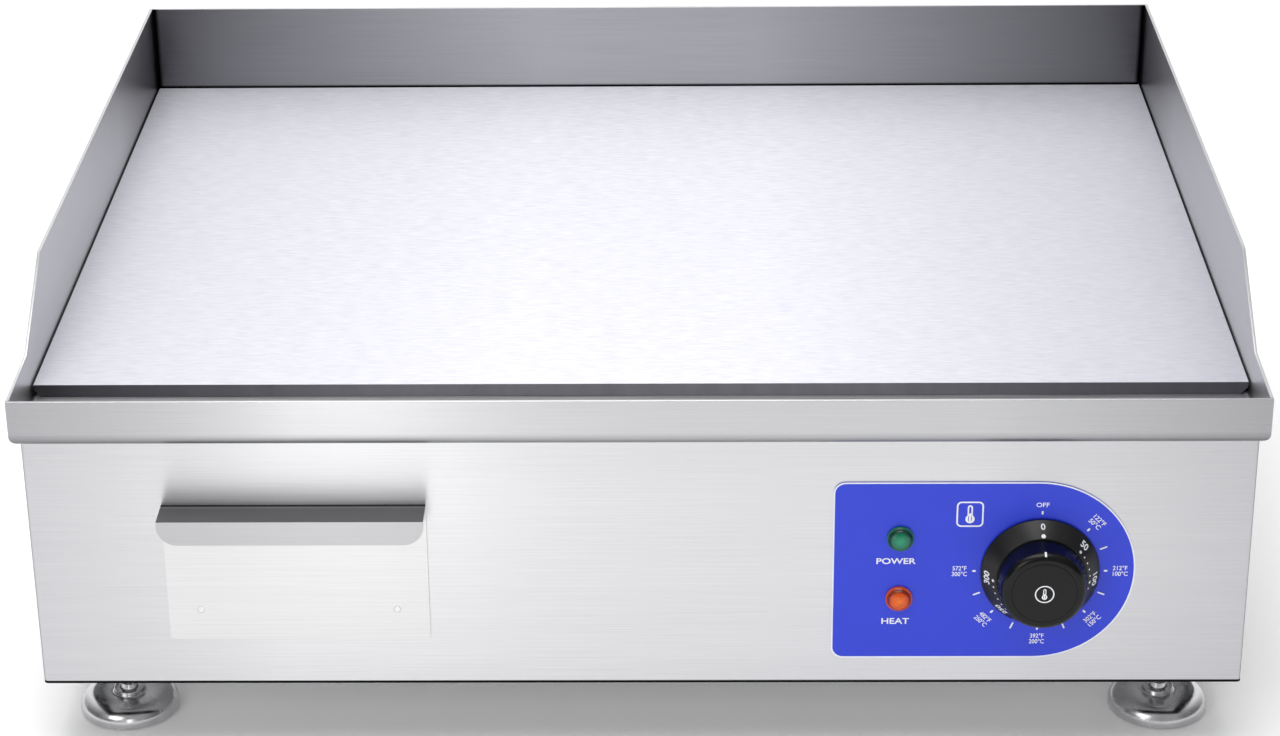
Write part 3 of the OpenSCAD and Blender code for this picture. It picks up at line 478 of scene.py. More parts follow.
# %% [markdown]
# ## Finishes for the pieces that keep their shape
#
# Most pieces are already right, so each only takes its finish. Sheet metal and machined
# steel never have a knife edge: a narrow bevel of a few tenths of a millimetre catches a
# line of light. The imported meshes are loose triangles, so a Weld comes before the Bevel,
# and Weighted Normal keeps the flats flat. The rear panel and the base plate are shaded
# flat, because nothing on them is rounded but their holes.

# %% Give each piece its finish and its edge
def soften(piece, width_mm, smooth):
    weld = piece.modifiers.new("weld", "WELD")
    weld.merge_threshold = 0.002 * MM
    if width_mm:
        bevel = piece.modifiers.new("edge", "BEVEL")
        bevel.width = width_mm * MM
        bevel.segments = 2
        bevel.limit_method = "ANGLE"
        bevel.angle_limit = math.radians(40)
        bevel.use_clamp_overlap = True
    piece.modifiers.new("flats", "WEIGHTED_NORMAL")
    for polygon in piece.data.polygons:
        polygon.use_smooth = smooth


def dress(material, width_mm, *nodes, smooth=True):
    for node in nodes:
        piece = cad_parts[node]
        piece.data.materials.clear()
        piece.data.materials.append(material)
        soften(piece, width_mm, smooth)


feet = ("fl", "fr", "rl", "rr")
dress(casing_steel, 0.3, "casing")
dress(stainless, 0.3, "rear_panel", "base_plate", smooth=False)
dress(stainless, 0.3, "drawer_pan")
dress(stainless, 0.15, "drawer_rivets")
dress(drawer_steel, 0.3, "drawer_front")
dress(tray_steel, 0.35, "top_tray")
dress(plate_steel, 0.25, "griddle_plate")
dress(stainless, 0.2, "drain_spout", "drawer_runners", "heat_shield", "bulb_clip",
      "element_clamps")
dress(zinc, 0.15, "tray_studs", "tray_nuts", "plate_studs", "stud_nuts", "foot_inserts",
      "thermostat_screws", "control_shaft")
dress(oxide, 0, "heating_element_left", "heating_element_right")
dress(fibre, 0.8, "insulation_board")
dress(ceramic, 0.4, "terminal_block", "thermostat")
dress(brass, 0.15, "terminal_screws", "earth_stud")
dress(copper, 0, "capillary_tube", "sensing_bulb")
dress(film, 0.1, "fascia")
dress(green_lens, 0.15, "power_lens")
dress(orange_lens, 0.15, "heat_lens")
dress(nylon, 0.2, "cable_gland", "gland_nut", "lamp_nuts")
dress(nylon_white, 0.2, "lamp_bodies")
dress(brown_sleeve, 0, "lead_live")
dress(black_sleeve, 0, "lead_switched")
dress(blue_sleeve, 0, "lead_neutral")
dress(rubber, 0.3, *["foot_pad_" + foot for foot in feet])
print("dressed", len(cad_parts), "pieces")

# %% [markdown]
# ## Turned pieces
#
# A knob, a foot's bell and a screw's head are all solids of revolution. An outline of
# radius and height is turned about an axis in many steps, so its curves stay smooth in a
# close view. A point on the axis becomes one vertex, which closes the pole. Arcs in the
# outline come from one function.

# %% Lathe
def arc(centre_r, centre_h, radius, start, end, steps=8):
    turns = [math.radians(start + (end - start) * i / steps) for i in range(steps + 1)]
    return [(centre_r + radius * math.cos(a), centre_h + radius * math.sin(a)) for a in turns]


def lathe(outline_mm, steps=96):
    shape = bmesh.new()
    rings = []
    for radius, height in outline_mm:
        if radius < 1e-6:
            rings.append([shape.verts.new((0, 0, height * MM))])
            continue
        rings.append([shape.verts.new((
            radius * MM * math.cos(2 * math.pi * i / steps),
            radius * MM * math.sin(2 * math.pi * i / steps), height * MM)) for i in range(steps)])
    for lower, upper in zip(rings, rings[1:]):
        if len(lower) == len(upper) == 1:
            continue
        for i in range(steps):
            j = (i + 1) % steps
            corners = [lower[i % len(lower)], lower[j % len(lower)],
                       upper[j % len(upper)], upper[i % len(upper)]]
            shape.faces.new(list(dict.fromkeys(corners)))
    bmesh.ops.remove_doubles(shape, verts=shape.verts, dist=0.0005 * MM)
    bmesh.ops.recalc_face_normals(shape, faces=shape.faces)
    mesh = bpy.data.meshes.new("turned")
    shape.to_mesh(mesh)
    shape.free()
    return mesh


def finish_piece(name, mesh, material, body):
    mesh.name = name
    mesh.materials.clear()
    mesh.materials.append(material)
    for polygon in mesh.polygons:
        polygon.use_smooth = True
        polygon.material_index = 0
    mesh.set_sharp_from_angle(angle=math.radians(38))
    piece = in_scene(name, mesh)
    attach(piece, body)
    return piece


def merged(parts):
    whole = bmesh.new()
    for mesh, place in parts:
        mesh.transform(place)
        whole.from_mesh(mesh)
    bmesh.ops.remove_doubles(whole, verts=whole.verts, dist=0.0005 * MM)
    bmesh.ops.recalc_face_normals(whole, faces=whole.faces)
    mesh = bpy.data.meshes.new("merged")
    whole.to_mesh(mesh)
    whole.free()
    return mesh


STAND_UP = Matrix.Rotation(math.radians(90), 4, "X")
print("lathe ready")

# %% [markdown]
# ## The knob
#
# The knob is three mouldings: a sloping skirt that carries the scale, a round grip with
# one soft edge, and a slightly domed cap pressed into the grip. The outlines below are
# measured in millimetres from the back of the skirt outwards. Where two mouldings meet, a
# hair of a gap keeps their faces apart, and every edge has its own small radius.

# %% Knob
skirt_low, skirt_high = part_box("knob_skirt")
grip_low, grip_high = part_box("knob_grip")
cap_low, cap_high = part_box("knob_cap")
skirt_r = (skirt_high.x - skirt_low.x) / 2 / MM
skirt_h = (skirt_high.y - skirt_low.y) / MM
grip_r = (grip_high.x - grip_low.x) / 2 / MM
grip_h = (grip_high.y - grip_low.y) / MM
cap_r = (cap_high.x - cap_low.x) / 2 / MM
knob_h = (skirt_high.y - cap_low.y) / MM
knob_centre = Vector(((skirt_low.x + skirt_high.x) / 2, skirt_high.y,
                      (skirt_low.z + skirt_high.z) / 2))
facing_out = Matrix.Translation(knob_centre) @ STAND_UP
gap, bore_gap, seat_gap = 0.02, 0.1, 0.08
back_edge, rim_edge, rim_z = 0.3, 0.5, 0.8
edge_r, edge_inset = 3.5, 1
seat_edge, seat_depth = 0.1, 1
cap_edge = 0.12
bore_r = grip_r - 4
edge_centre = grip_r - edge_inset - edge_r
seat_r = cap_r + seat_gap

rim_turn = arc(skirt_r - rim_edge, rim_z, rim_edge, 0, 48, 4)
slope_start, slope_end = rim_turn[-1], (grip_r + 0.9, skirt_h - 0.25)
skirt_outline = ([(bore_r, 0), (skirt_r - back_edge, 0)]
                 + arc(skirt_r - back_edge, back_edge, back_edge, -90, 0, 4) + rim_turn
                 + [slope_end, (grip_r + 0.6, skirt_h), (bore_r, skirt_h), (bore_r, 0)])
grip_outline = ([(bore_r - bore_gap, gap), (bore_r - bore_gap, skirt_h),
                 (grip_r, skirt_h + gap), (grip_r - gap, skirt_h + 0.4)]
                + arc(edge_centre, grip_h - edge_r, edge_r, 3, 84, 14)
                + [(seat_r + 0.15, grip_h - 0.01)]
                + arc(seat_r + seat_edge, grip_h - seat_edge, seat_edge, 90, 180, 4)
                + [(seat_r, grip_h - seat_depth), (0, grip_h - seat_depth)])
cap_foot = grip_h - seat_depth + gap
cap_outline = ([(0, cap_foot), (cap_r, cap_foot)]
               + arc(cap_r - cap_edge, grip_h - cap_edge, cap_edge, 0, 80, 4)
               + [(cap_r * math.cos(math.radians(a)),
                   grip_h + (knob_h - grip_h) * math.sin(math.radians(a)) ** 2)
                  for a in range(12, 90, 6)]
               + [(0, knob_h)])

for name, outline, finish in (("skirt", skirt_outline, skirt_phenolic),
                              ("grip", grip_outline, phenolic), ("cap", cap_outline, phenolic)):
    mesh = lathe([(0, outline[0][1])] + outline if name == "grip" else outline, 128)
    mesh.transform(facing_out)
    piece = finish_piece("turned_knob_" + name, mesh, finish, "knob")
    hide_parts("knob_" + name)
print("knob", round(2 * skirt_r, 1), "mm across and", round(knob_h, 1), "mm deep")

# %% [markdown]
# ## Ink
#
# The scale, the two words and the picture of a thermometer are screen printed. Ink is a
# layer a few hundredths of a millimetre thick, so each mark is a thin flat solid. Words
# start as text curves and pictures as flat outlines with holes, and both become plain
# meshes before they are laid on the panel. The marks are generic: degrees and plain words.

# %% Flat marks
INK = 0.04 * MM


def as_mesh(curve, thick=INK):
    curve.extrude = thick / 2
    holder = in_scene("flat", curve)
    mesh = plain_mesh(holder)
    bpy.data.objects.remove(holder)
    return mesh


def fit_flat(mesh, wide_mm, high_mm):
    xs = [v.co.x for v in mesh.vertices]
    ys = [v.co.y for v in mesh.vertices]
    middle = Vector(((min(xs) + max(xs)) / 2, (min(ys) + max(ys)) / 2, 0))
    scale = Matrix.Diagonal((wide_mm * MM / (max(xs) - min(xs)),
                             high_mm * MM / (max(ys) - min(ys)), 1, 1))
    mesh.transform(scale @ Matrix.Translation(-middle))
    return mesh


def words(text, wide_mm, high_mm, weight):
    curve = bpy.data.curves.new("words", "FONT")
    curve.body = text
    curve.align_x = "CENTER"
    curve.space_line = 0.95
    curve.offset = weight
    curve.resolution_u = 4
    return fit_flat(as_mesh(curve), wide_mm, high_mm)


def flat_shape(*loops_mm, thick=INK):
    curve = bpy.data.curves.new("outline", "CURVE")
    curve.dimensions = "2D"
    curve.fill_mode = "BOTH"
    for loop in loops_mm:
        spline = curve.splines.new("POLY")
        spline.points.add(len(loop) - 1)
        for point, (x, y) in zip(spline.points, loop):
            point.co = (x * MM, y * MM, 0, 1)
        spline.use_cyclic_u = True
    return as_mesh(curve, thick)


def round_box(wide, high, radius, steps=6):
    x, y = wide / 2 - radius, high / 2 - radius
    return (arc(x, y, radius, 0, 90, steps) + arc(-x, y, radius, 90, 180, steps)
            + arc(-x, -y, radius, 180, 270, steps) + arc(x, -y, radius, 270, 360, steps))


def ring(outer, inner):
    steps = 40
    return [arc(0, 0, r, 0, 360 - 360 / steps, steps - 1) for r in (outer, inner)]


def thermometer(high):
    bulb, stem = high * 0.23, high * 0.13
    top = high / 2 - stem
    foot = -high / 2 + bulb
    meet = math.degrees(math.acos(stem / bulb))
    return arc(0, top, stem, 0, 180, 8) + arc(0, foot, bulb, 180 - meet, 360 + meet, 16)


def thermometer_marks(high):
    outer = thermometer(high)
    inner = [(x * 0.42, y * 0.86 - high * 0.01) for x, y in outer]
    box = round_box(high * 0.5, high, high * 0.2)
    return outer, inner, [(x * 0.2, y * 0.5 - high * 0.19) for x, y in box]


print("flat marks ready")

# %% [markdown]
# ## A ring of marks, made by Geometry Nodes
#
# The panel's ticks and the skirt's dots are the same idea: one small mark repeated about
# a centre at an even step. A Geometry Nodes tree makes the points, turns each mark to
# face its centre, tilts it onto the slope it lies on, and sets its ink. The same tree
# serves every ring, with other sizes. Two functions open a tree with its inputs and end it
# with real copies and a material, for this tree and for the two after it.

# %% Ring tree
def open_tree(name, **inputs):
    tree = bpy.data.node_groups.new(name, "GeometryNodeTree")
    for label, kind in inputs.items():
        tree.interface.new_socket(label, in_out="INPUT", socket_type="NodeSocket" + kind)
    tree.interface.new_socket("Geometry", in_out="OUTPUT", socket_type="NodeSocketGeometry")
    return tree, add(tree, "NodeGroupInput").outputs


def end_tree(tree, geometry, finish):
    real = add(tree, "GeometryNodeRealizeInstances", {0: geometry})
    dressed = add(tree, "GeometryNodeSetMaterial", {
        "Geometry": real.outputs[0], "Material": finish})
    add(tree, "NodeGroupOutput", {0: dressed.outputs[0]})
    return tree


def ring_tree():
    tree, given = open_tree("ring of marks", Mark="Object", Count="Int", Radius="Float",
                            Start="Float", Step="Float", Tilt="Float", Centre="Vector",
                            Ink="Material")
    index = add(tree, "GeometryNodeInputIndex")
    angle = add(tree, "ShaderNodeMath", {0: index.outputs[0], 1: given["Step"], 2: given["Start"]},
                operation="MULTIPLY_ADD").outputs[0]
    sine = add(tree, "ShaderNodeMath", {0: angle}, operation="SINE")
    cosine = add(tree, "ShaderNodeMath", {0: angle}, operation="COSINE")
    spoke = add(tree, "ShaderNodeCombineXYZ", {"X": sine.outputs[0], "Z": cosine.outputs[0]})
    reach = add(tree, "ShaderNodeVectorMath", {0: spoke.outputs[0], "Scale": given["Radius"]},
                operation="SCALE")
    place = add(tree, "ShaderNodeVectorMath", {0: reach.outputs[0], 1: given["Centre"]},
                operation="ADD")
    points = add(tree, "GeometryNodePoints", {"Count": given["Count"], "Position": place.outputs[0]})
    turn = add(tree, "ShaderNodeCombineXYZ", {"X": given["Tilt"], "Y": angle})
    facing = add(tree, "FunctionNodeEulerToRotation", {0: turn.outputs[0]})
    mark = add(tree, "GeometryNodeObjectInfo", {"Object": given["Mark"]})
    placed = add(tree, "GeometryNodeInstanceOnPoints", {
        "Points": points.outputs[0], "Instance": mark.outputs["Geometry"],
        "Rotation": facing.outputs[0]})
    return end_tree(tree, placed.outputs[0], given["Ink"])


def grow(tree, values):
    holder = in_scene("seed", bpy.data.meshes.new("seed"))
    modifier = holder.modifiers.new("nodes", "NODES")
    modifier.node_group = tree
    for item in tree.interface.items_tree:
        if item.in_out == "INPUT" and item.name in values:
            modifier[item.identifier] = values[item.name]
    grown = plain_mesh(holder)
    holder.modifiers.remove(modifier)
    bpy.data.objects.remove(holder)
    return grown


def marks_about(mark, count, radius_mm, start, step, centre, tilt=0.0):
    mark.transform(STAND_UP)
    seed = in_scene("mark", mark)
    grown = grow(rings, {
        "Mark": seed, "Count": count, "Radius": radius_mm * MM, "Start": math.radians(start),
        "Step": math.radians(step), "Tilt": math.radians(tilt), "Centre": centre, "Ink": ink})
    bpy.data.objects.remove(seed)
    return grown


rings = ring_tree()
print("ring tree has", len(rings.nodes), "nodes")

# %% [markdown]
# ## Print on the panel
#
# Each mark's place is measured from the panel's own corners, a lamp or the knob's centre.
# The dial runs clockwise from its stop to 300 degrees Celsius, in six steps of 45 degrees
# of angle. Every second label is slanted to read along the circle.

# %% Panel print
fascia_low, fascia_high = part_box("fascia")
ink_y = fascia_low.y - INK / 2 + 0.001 * MM
on_panel = Matrix.Translation((0, ink_y, 0)) @ STAND_UP
dial_step = 45
off_r, label_r, tick_r, half_tick_r = 33.2, 34.6, 29.3, 30.1


def panel_place(x_mm, z_mm, turn=0.0):
    spin = Matrix.Rotation(math.radians(-turn), 4, "Z")
    return on_panel @ Matrix.Translation((x_mm * MM, z_mm * MM, 0)) @ spin


def on_dial(radius, angle):
    a = math.radians(angle)
    return (knob_centre.x / MM + radius * math.sin(a), knob_centre.z / MM + radius * math.cos(a))


lamp_x = sum(corner.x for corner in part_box("power_lens")) / 2 / MM
power_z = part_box("power_lens")[0].z / MM
heat_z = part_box("heat_lens")[0].z / MM
icon = panel_place(knob_centre.x / MM - 32.0, knob_centre.z / MM + 28.6)
degrees_per_step = 50
parts = [
    (words("POWER", 17.6, 3.0, 0.018), panel_place(lamp_x - 1.6, power_z - 5.6)),
    (words("HEAT", 12.4, 3.0, 0.018), panel_place(lamp_x - 1.3, heat_z - 5.8)),
    (words("OFF", 5.8, 2.2, 0.01), panel_place(*on_dial(off_r, 0))),
    (flat_shape(round_box(12.0, 12.6, 2.2), round_box(10.6, 11.2, 1.6)), icon),
    (flat_shape(*thermometer_marks(9.0)), icon),
]
for number, turn in enumerate((45, 0, -45, 0, 45, 0), 1):
    angle = dial_step * number
    celsius = degrees_per_step * number
    fahrenheit = celsius * 9 // 5 + 32
    text = f"{fahrenheit}\N{DEGREE SIGN}F\n{celsius}\N{DEGREE SIGN}C"
    radius = label_r + (1.2 if angle in (90, 270) else 0)
    parts.append((words(text, 6.8, 5.2, 0.012), panel_place(*on_dial(radius, angle), turn)))
outline_r = (fascia_high.z - fascia_low.z) / 2 / MM
corner_r = 5.5


def film_edge(inset):
    left, right = fascia_low.x / MM + inset, fascia_high.x / MM - outline_r
    low, high = fascia_low.z / MM + inset, fascia_high.z / MM - inset
    corner = corner_r - inset
    return (arc(right, low + outline_r - inset, outline_r - inset, -90, 90, 48)
            + arc(left + corner, high - corner, corner, 90, 180, 8)
            + arc(left + corner, low + corner, corner, 180, 270, 8))


centre = Vector((knob_centre.x, ink_y, knob_centre.z))
still = Matrix.Identity(4)
for size, count, radius, start in (((0.7, 3.4, 0.2, 3), 5, half_tick_r, 1.5 * dial_step),
                                   ((0.9, 1.7, 0.4, 3), 7, tick_r, 0)):
    parts.append((marks_about(flat_shape(round_box(*size)), count, radius, start, dial_step,
                              centre), still))
finish_piece("panel_print", merged(parts), ink, "body")
edge = flat_shape(film_edge(0.0), film_edge(0.7))
finish_piece("panel_edge", merged([(edge, on_panel)]), rim_film, "body")
print("panel print has", len(parts), "groups of marks")

# %% [markdown]
# ## Print on the knob
#
# The skirt is a cone, so its numerals are laid out flat and then rolled onto the slope:
# sideways becomes an angle, and up becomes a distance along the slope. The dots between
# them come from the ring tree with a tilt. The cap carries a ring and a thermometer, and
# a short pointer is printed over the grip's rounded edge.

# %% Knob print
slope = math.atan2(slope_end[1] - slope_start[1], slope_start[0] - slope_end[0])
scale_start, scale_step = 51.0, 43.4


def skirt_depth(radius):
    return slope_start[1] + (slope_start[0] - radius) * math.tan(slope)


def rolled(mesh, radius, angle):
    for vertex in mesh.vertices:
        x, y, lift = vertex.co / MM
        a = math.radians(angle) + x / radius
        r = radius + y * math.cos(slope) + (lift + INK / MM / 2) * math.sin(slope)
        depth = (skirt_depth(radius) - y * math.sin(slope)
                 + (lift + INK / MM / 2) * math.cos(slope))
        vertex.co = knob_centre + Vector((r * math.sin(a), -depth, r * math.cos(a))) * MM
    return mesh


numeral_r, dot_r = 24.1, 21.5
knob_parts = [(rolled(words("0", 2.0, 3.0, 0.02), numeral_r + 0.3, 0), still)]
for step in range(6):
    text = str(degrees_per_step * (step + 1))
    wide = 2.1 * len(text)
    knob_parts.append((rolled(words(text, wide, 3.5, 0.02), numeral_r,
                              scale_start + scale_step * step), still))
slope_centre = knob_centre - Vector((0, skirt_depth(dot_r) * MM + INK * 0.45, 0))
for count, size, start, step in ((26, 0.42, scale_start, scale_step / 5),
                                 (6, 0.7, scale_start, scale_step), (1, 1.0, 0, 0)):
    disc = flat_shape(arc(0, 0, size, 0, 345, 23))
    knob_parts.append((marks_about(disc, count, dot_r, start, step, slope_centre,
                                   -math.degrees(slope)), still))
cap_front = (Matrix.Translation(knob_centre + Vector((0, -knob_h * MM - INK * 0.4, 0)))
             @ STAND_UP)
knob_parts.append((flat_shape(*ring(4.3, 3.75)), cap_front))
knob_parts.append((flat_shape(*thermometer_marks(5.4)), cap_front))
pointer = flat_shape(arc(edge_centre, grip_h - edge_r, edge_r + INK / MM, 8, 50, 8)
                     + arc(edge_centre, grip_h - edge_r, edge_r, 50, 8, 8), thick=0.9 * MM)
over_the_edge = Matrix(((0, 0, 1), (0, -1, 0), (1, 0, 0))).to_4x4()
knob_parts.append((pointer, Matrix.Translation(knob_centre) @ over_the_edge))
finish_piece("knob_print", merged(knob_parts), ink, "knob")
print("knob print has", len(knob_parts), "groups of marks")

# %% [markdown]
# ## Feet
#
# A foot is a pressed and polished bell on a threaded stem. The bell has a round shoulder,
# a top that dips a little and a small ring where the stem enters. The thread is a helix:
# a Geometry Nodes spiral carries a small profile round a core, at the stem's real pitch. A
# hexagon collar on the stem takes a spanner.

# %% Thread tree
def thread_tree():
    tree, given = open_tree("screw thread", Core="Float", Crest="Float", Pitch="Float",
                            Turns="Float", Base="Vector", Metal="Material")
    height = add(tree, "ShaderNodeMath", {0: given["Pitch"], 1: given["Turns"]},
                 operation="MULTIPLY").outputs[0]
    spiral = add(tree, "GeometryNodeCurveSpiral", {
        "Resolution": 32, "Rotations": given["Turns"], "Start Radius": given["Core"],
        "End Radius": given["Core"], "Height": height})
    depth = add(tree, "ShaderNodeMath", {0: given["Crest"], 1: given["Core"]},
                operation="SUBTRACT").outputs[0]
    profile = add(tree, "GeometryNodeCurvePrimitiveCircle", {"Resolution": 6, "Radius": depth})
    helix = add(tree, "GeometryNodeCurveToMesh", {
        "Curve": spiral.outputs[0], "Profile Curve": profile.outputs[0], "Fill Caps": True})
    moved = add(tree, "GeometryNodeTransform", {
        "Geometry": helix.outputs[0], "Translation": given["Base"]})
    return end_tree(tree, moved.outputs[0], given["Metal"])


threads = thread_tree()
print("thread tree has", len(threads.nodes), "nodes")

# %% Bells and stems
bell_low, bell_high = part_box("foot_bell_fl")
pad_low, pad_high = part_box("foot_pad_fl")
stem_low, stem_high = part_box("foot_stem_fl")
bell_r = (bell_high.x - bell_low.x) / 2 / MM
bell_h = bell_high.z / MM
pad_r = (pad_high.x - pad_low.x) / 2 / MM
pad_t = pad_high.z / MM
stem_r, collar_r, ring_r = 4.0, 6.5, 7.0
stem_top, stem_foot = stem_high.z / MM, stem_low.z / MM
collar_z, collar_t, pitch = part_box("casing")[0].z / MM - 14, 4.0, 1.25
thread_foot = bell_h + 2.6
turns = (stem_top - 1.5 - thread_foot) / pitch
shoulder = 7.0
top = bell_h - 1.4
bell_rim_z, bell_rim_edge, skin = 0.6, 0.5, 0.05
hole_r = stem_r + 0.1
pad_side, pad_top, hole_foot = pad_r + skin, pad_t + skin, stem_foot - skin
bell_outline = ([(pad_side, bell_rim_z), (bell_r - 0.8, bell_rim_z)]
                + arc(bell_r - bell_rim_edge, bell_rim_z + bell_rim_edge, bell_rim_edge, -80, 0, 5)
                + arc(bell_r - shoulder, top - shoulder, shoulder, 0, 88, 14)
                + [(ring_r + 4, top - 0.4), (ring_r + 1.6, top - 0.75)]
                + arc(ring_r + 0.9, top - 0.1, 0.7, 260, 180, 4)
                + arc(ring_r - 0.5, bell_h - 0.5, 0.5, 0, 90, 5)
                + [(hole_r + 0.4, bell_h), (hole_r, bell_h - 0.4), (hole_r, hole_foot),
                   (0, hole_foot), (0, pad_top), (pad_side, pad_top),
                   (pad_side, bell_rim_z)])
core_r = stem_r - 0.75
neck_r = stem_r - 0.2
stem_outline = [(0, stem_foot), (neck_r - 0.4, stem_foot), (neck_r, stem_foot + 0.4),
                (neck_r, bell_h + 1.0), (core_r, bell_h + 1.8), (core_r, stem_top - 0.8),
                (core_r - 0.8, stem_top), (0, stem_top)]


def hexagon(corner, height, chamfer):
    outline = [(0, 0), (corner - chamfer, 0), (corner, chamfer),
               (corner, height - chamfer), (corner - chamfer, height), (0, height)]
    return lathe(outline, 6)


for foot in feet:
    low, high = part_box("foot_bell_" + foot)
    centre = Vector(((low.x + high.x) / 2, (low.y + high.y) / 2, 0))
    here = Matrix.Translation(centre)
    bell = finish_piece("pressed_bell_" + foot, merged([(lathe(bell_outline), here)]),
                        polished, "foot_" + foot)
    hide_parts("foot_bell_" + foot)
    helix = grow(threads, {
        "Core": (stem_r - 0.42) * MM, "Crest": stem_r * MM, "Pitch": pitch * MM, "Turns": turns,
        "Base": (0, 0, thread_foot * MM), "Metal": polished})
    collar = Matrix.Translation((0, 0, collar_z * MM))
    stem = finish_piece("threaded_stem_" + foot, merged([
        (lathe(stem_outline, 48), here), (hexagon(collar_r, collar_t, 0.5), here @ collar),
        (helix, here)]), polished, "foot_screw_" + foot)
    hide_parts("foot_stem_" + foot)
print("four feet,", round(turns), "turns of thread each")

# %% [markdown]
# ## Sheet metal screws
#
# Four screws hold the rear panel and four the base. Each has a pan head with a cross
# recess. One head is turned, a cross is cut from it, and a small tree puts a copy at each
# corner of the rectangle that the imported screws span.

# %% Screw tree
def corner_tree():
    tree, given = open_tree("copies at corners", Piece="Object", Wide="Float", High="Float",
                            Turn="Float", Centre="Vector", Metal="Material")
    grid = add(tree, "GeometryNodeMeshGrid", {
        "Size X": given["Wide"], "Size Y": given["High"], "Vertices X": 2, "Vertices Y": 2})
    piece = add(tree, "GeometryNodeObjectInfo", {"Object": given["Piece"]})
    placed = add(tree, "GeometryNodeInstanceOnPoints", {
        "Points": grid.outputs[0], "Instance": piece.outputs["Geometry"]})
    turn = add(tree, "ShaderNodeCombineXYZ", {"X": given["Turn"]})
    facing = add(tree, "FunctionNodeEulerToRotation", {0: turn.outputs[0]})
    moved = add(tree, "GeometryNodeTransform", {
        "Geometry": placed.outputs[0], "Translation": given["Centre"],
        "Rotation": facing.outputs[0]})
    return end_tree(tree, moved.outputs[0], given["Metal"])


def pan_head_screw(length, head_r, head_t, shank_r):
    outline = ([(0, -length), (shank_r - 0.6, -length), (shank_r, -length + 1), (shank_r, 0),
                (head_r - 0.2, 0)] + arc(head_r - 0.2, 0.2, 0.2, -90, 0, 3)
               + arc(head_r - 1.3, head_t - 1.3, 1.3, 20, 80, 6) + [(head_r * 0.3, head_t), (0, head_t)])
    screw = in_scene("screw", lathe(outline, 48))
    for angle in (0, 90):
        blade = bmesh.new()
        bmesh.ops.create_cube(blade, size=1.0)
        mesh = bpy.data.meshes.new("blade")
        blade.to_mesh(mesh)
        blade.free()
        shape = Matrix.Diagonal((head_r * 1.05 * MM, 0.9 * MM, 2.2 * MM, 1))
        mesh.transform(Matrix.Rotation(math.radians(angle), 4, "Z")
                       @ Matrix.Translation((0, 0, head_t * MM)) @ shape)
        cutter = in_scene("cutter", mesh)
        cut = screw.modifiers.new("cross", "BOOLEAN")
        cut.object = cutter
        cut.operation = "DIFFERENCE"
        cut.solver = "EXACT"
        screw.data = plain_mesh(screw)
        screw.modifiers.clear()
        bpy.data.objects.remove(cutter)
    return screw


corners = corner_tree()
head_r, head_t, screw_l, shank_r = 4.1, 2.2, 7.5, 1.9
for node, turn, out_face in (("rear_screws", -90, "rear"), ("base_screws", 180, "under")):
    low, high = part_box(node)
    screw = pan_head_screw(screw_l, head_r, head_t, shank_r)
    if out_face == "rear":
        seat = high.y - head_t * MM
        wide, tall = high.x - low.x, high.z - low.z
        centre = Vector((0, seat, (low.z + high.z) / 2))
    else:
        seat = low.z + head_t * MM
        wide, tall = high.x - low.x, high.y - low.y
        centre = Vector((0, (low.y + high.y) / 2, seat))
    mesh = grow(corners, {
        "Piece": screw, "Wide": wide - 2 * head_r * MM, "High": tall - 2 * head_r * MM,
        "Turn": math.radians(turn), "Centre": centre, "Metal": zinc})
    bpy.data.objects.remove(screw)
    piece = finish_piece("cross_head_" + node, mesh, zinc, "body")
    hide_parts(node)
print("eight cross head screws")

# %% [markdown]
# ## Camera
#
# The view is a long lens from well above the griddle, looking down at about 25 degrees.
# The camera's turn and lean are small angles, and its place is measured from the tray's
# front lip.

# %% Camera
lip_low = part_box("top_tray")[0]
eye = Vector((22.4, -1250.1, 626.1)) * MM + Vector((0, lip_low.y, lip_low.z))
dip, turn, lean = math.radians(25.2), math.radians(-0.97), math.radians(-0.57)
forward = Vector((math.sin(turn) * math.cos(dip), math.cos(turn) * math.cos(dip),
                  -math.sin(dip)))
level = Vector((math.cos(turn), -math.sin(turn), 0))
upward = level.cross(forward)
right = math.cos(lean) * level + math.sin(lean) * upward
up = math.cos(lean) * upward - math.sin(lean) * level
lens_data = bpy.data.cameras.new("camera")
lens_data.sensor_width = 36
lens_data.lens = 90.2
camera = in_scene("camera", lens_data)
turned = Matrix((right, up, -forward)).transposed().to_4x4()
camera.matrix_world = Matrix.Translation(eye) @ turned
bpy.context.scene.camera = camera
bpy.context.scene.view_settings.view_transform = "Standard"
print("camera at", [round(v, 3) for v in eye])

# %% [markdown]
# ## Studio
#
# A polished object is mostly a picture of its room, so the room is the light: a white
# table with a faint light of its own, which keeps the shadows pale, a bright wall behind
# and a darker side behind the camera. The world's colour changes with direction only. It
# is dark to the left and right, which draws a thin dark line down each bend. A low strip
# in front of the object leaves a bright streak on it.

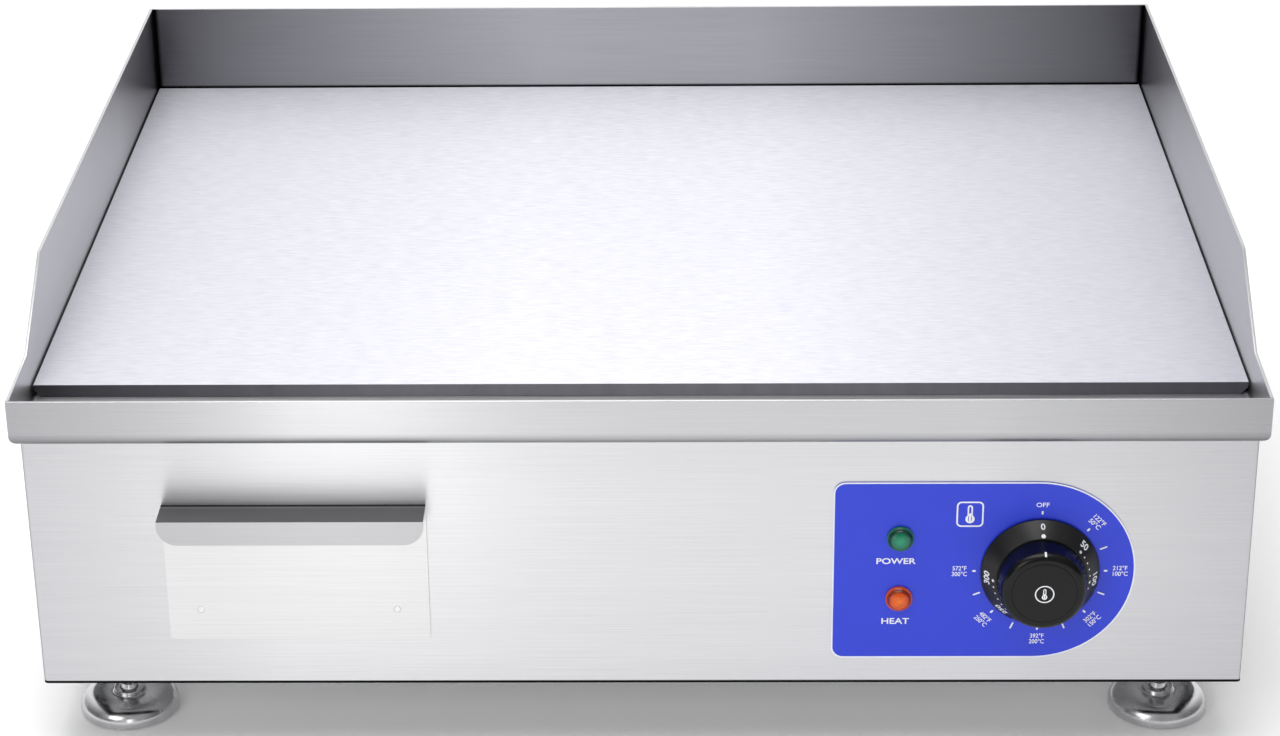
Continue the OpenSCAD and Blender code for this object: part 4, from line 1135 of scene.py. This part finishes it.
# %% Floor, world and lights
def make_floor():
    mesh = bpy.data.meshes.new("floor")
    half = 4.0
    mesh.from_pydata([(-half, -half, 0), (half, -half, 0), (half, half, 0), (-half, half, 0)],
                     [], [(0, 1, 2, 3)])
    floor = in_scene("floor", mesh)
    floor.data.materials.append(new_material("white lit table", {
        "Base Color": linear("#FAFAFA"), "Roughness": 0.9,
        "Emission Color": linear("#FFFFFF"), "Emission Strength": 0.08})[0])


def make_world():
    world = bpy.data.worlds.new("studio")
    bpy.context.scene.world = world
    world.use_nodes = True
    tree = world.node_tree
    place = add(tree, "ShaderNodeTexCoord")
    split = add(tree, "ShaderNodeSeparateXYZ", {"Vector": place.outputs["Generated"]})
    depth = add(tree, "ShaderNodeMapRange", {
        "Value": split.outputs["Y"], "From Min": -1.0, "From Max": 1.0})
    tone = add(tree, "ShaderNodeValToRGB", {"Fac": depth.outputs[0]}, stops=[
        (0.0, (0.30, 0.30, 0.30, 1)), (0.35, (0.42, 0.42, 0.42, 1)),
        (0.6, (0.86, 0.86, 0.87, 1)), (1.0, (1.0, 1.0, 1.01, 1))])
    aside = add(tree, "ShaderNodeMath", {0: split.outputs["X"]}, operation="ABSOLUTE")
    far = add(tree, "ShaderNodeMapRange", {
        "Value": aside.outputs[0], "From Min": 0.55, "From Max": 0.95})
    dim = add(tree, "ShaderNodeValToRGB", {"Fac": far.outputs[0]}, stops=[
        (0.0, (1, 1, 1, 1)), (1.0, (0.25, 0.25, 0.25, 1))])
    both = add(tree, "ShaderNodeMix", {0: 1.0, 6: tone.outputs["Color"], 7: dim.outputs["Color"]},
               data_type="RGBA", blend_type="MULTIPLY")
    back = tree.nodes["Background"]
    tree.links.new(both.outputs[2], back.inputs["Color"])
    back.inputs["Strength"].default_value = 1.15


def soft_light(name, place, aim, size, power):
    data = bpy.data.lights.new(name, "AREA")
    data.shape = "RECTANGLE"
    data.size, data.size_y = size
    data.energy = power
    light = in_scene(name, data)
    light.location = place
    light.rotation_euler = (Vector(aim) - Vector(place)).to_track_quat("-Z", "Y").to_euler()


make_floor()
make_world()
soft_light("overhead", (-0.2, -0.3, 1.9), (0, -0.1, 0.1), (1.8, 1.2), 25)
soft_light("front left", (-1.2, -1.9, 1.2), (0, 0, 0.1), (1.0, 0.8), 9)
soft_light("low strip", (-0.18, -0.75, 0.13), (-0.1, -0.2, 0.1), (0.1, 0.22), 0.18)
print("studio ready")
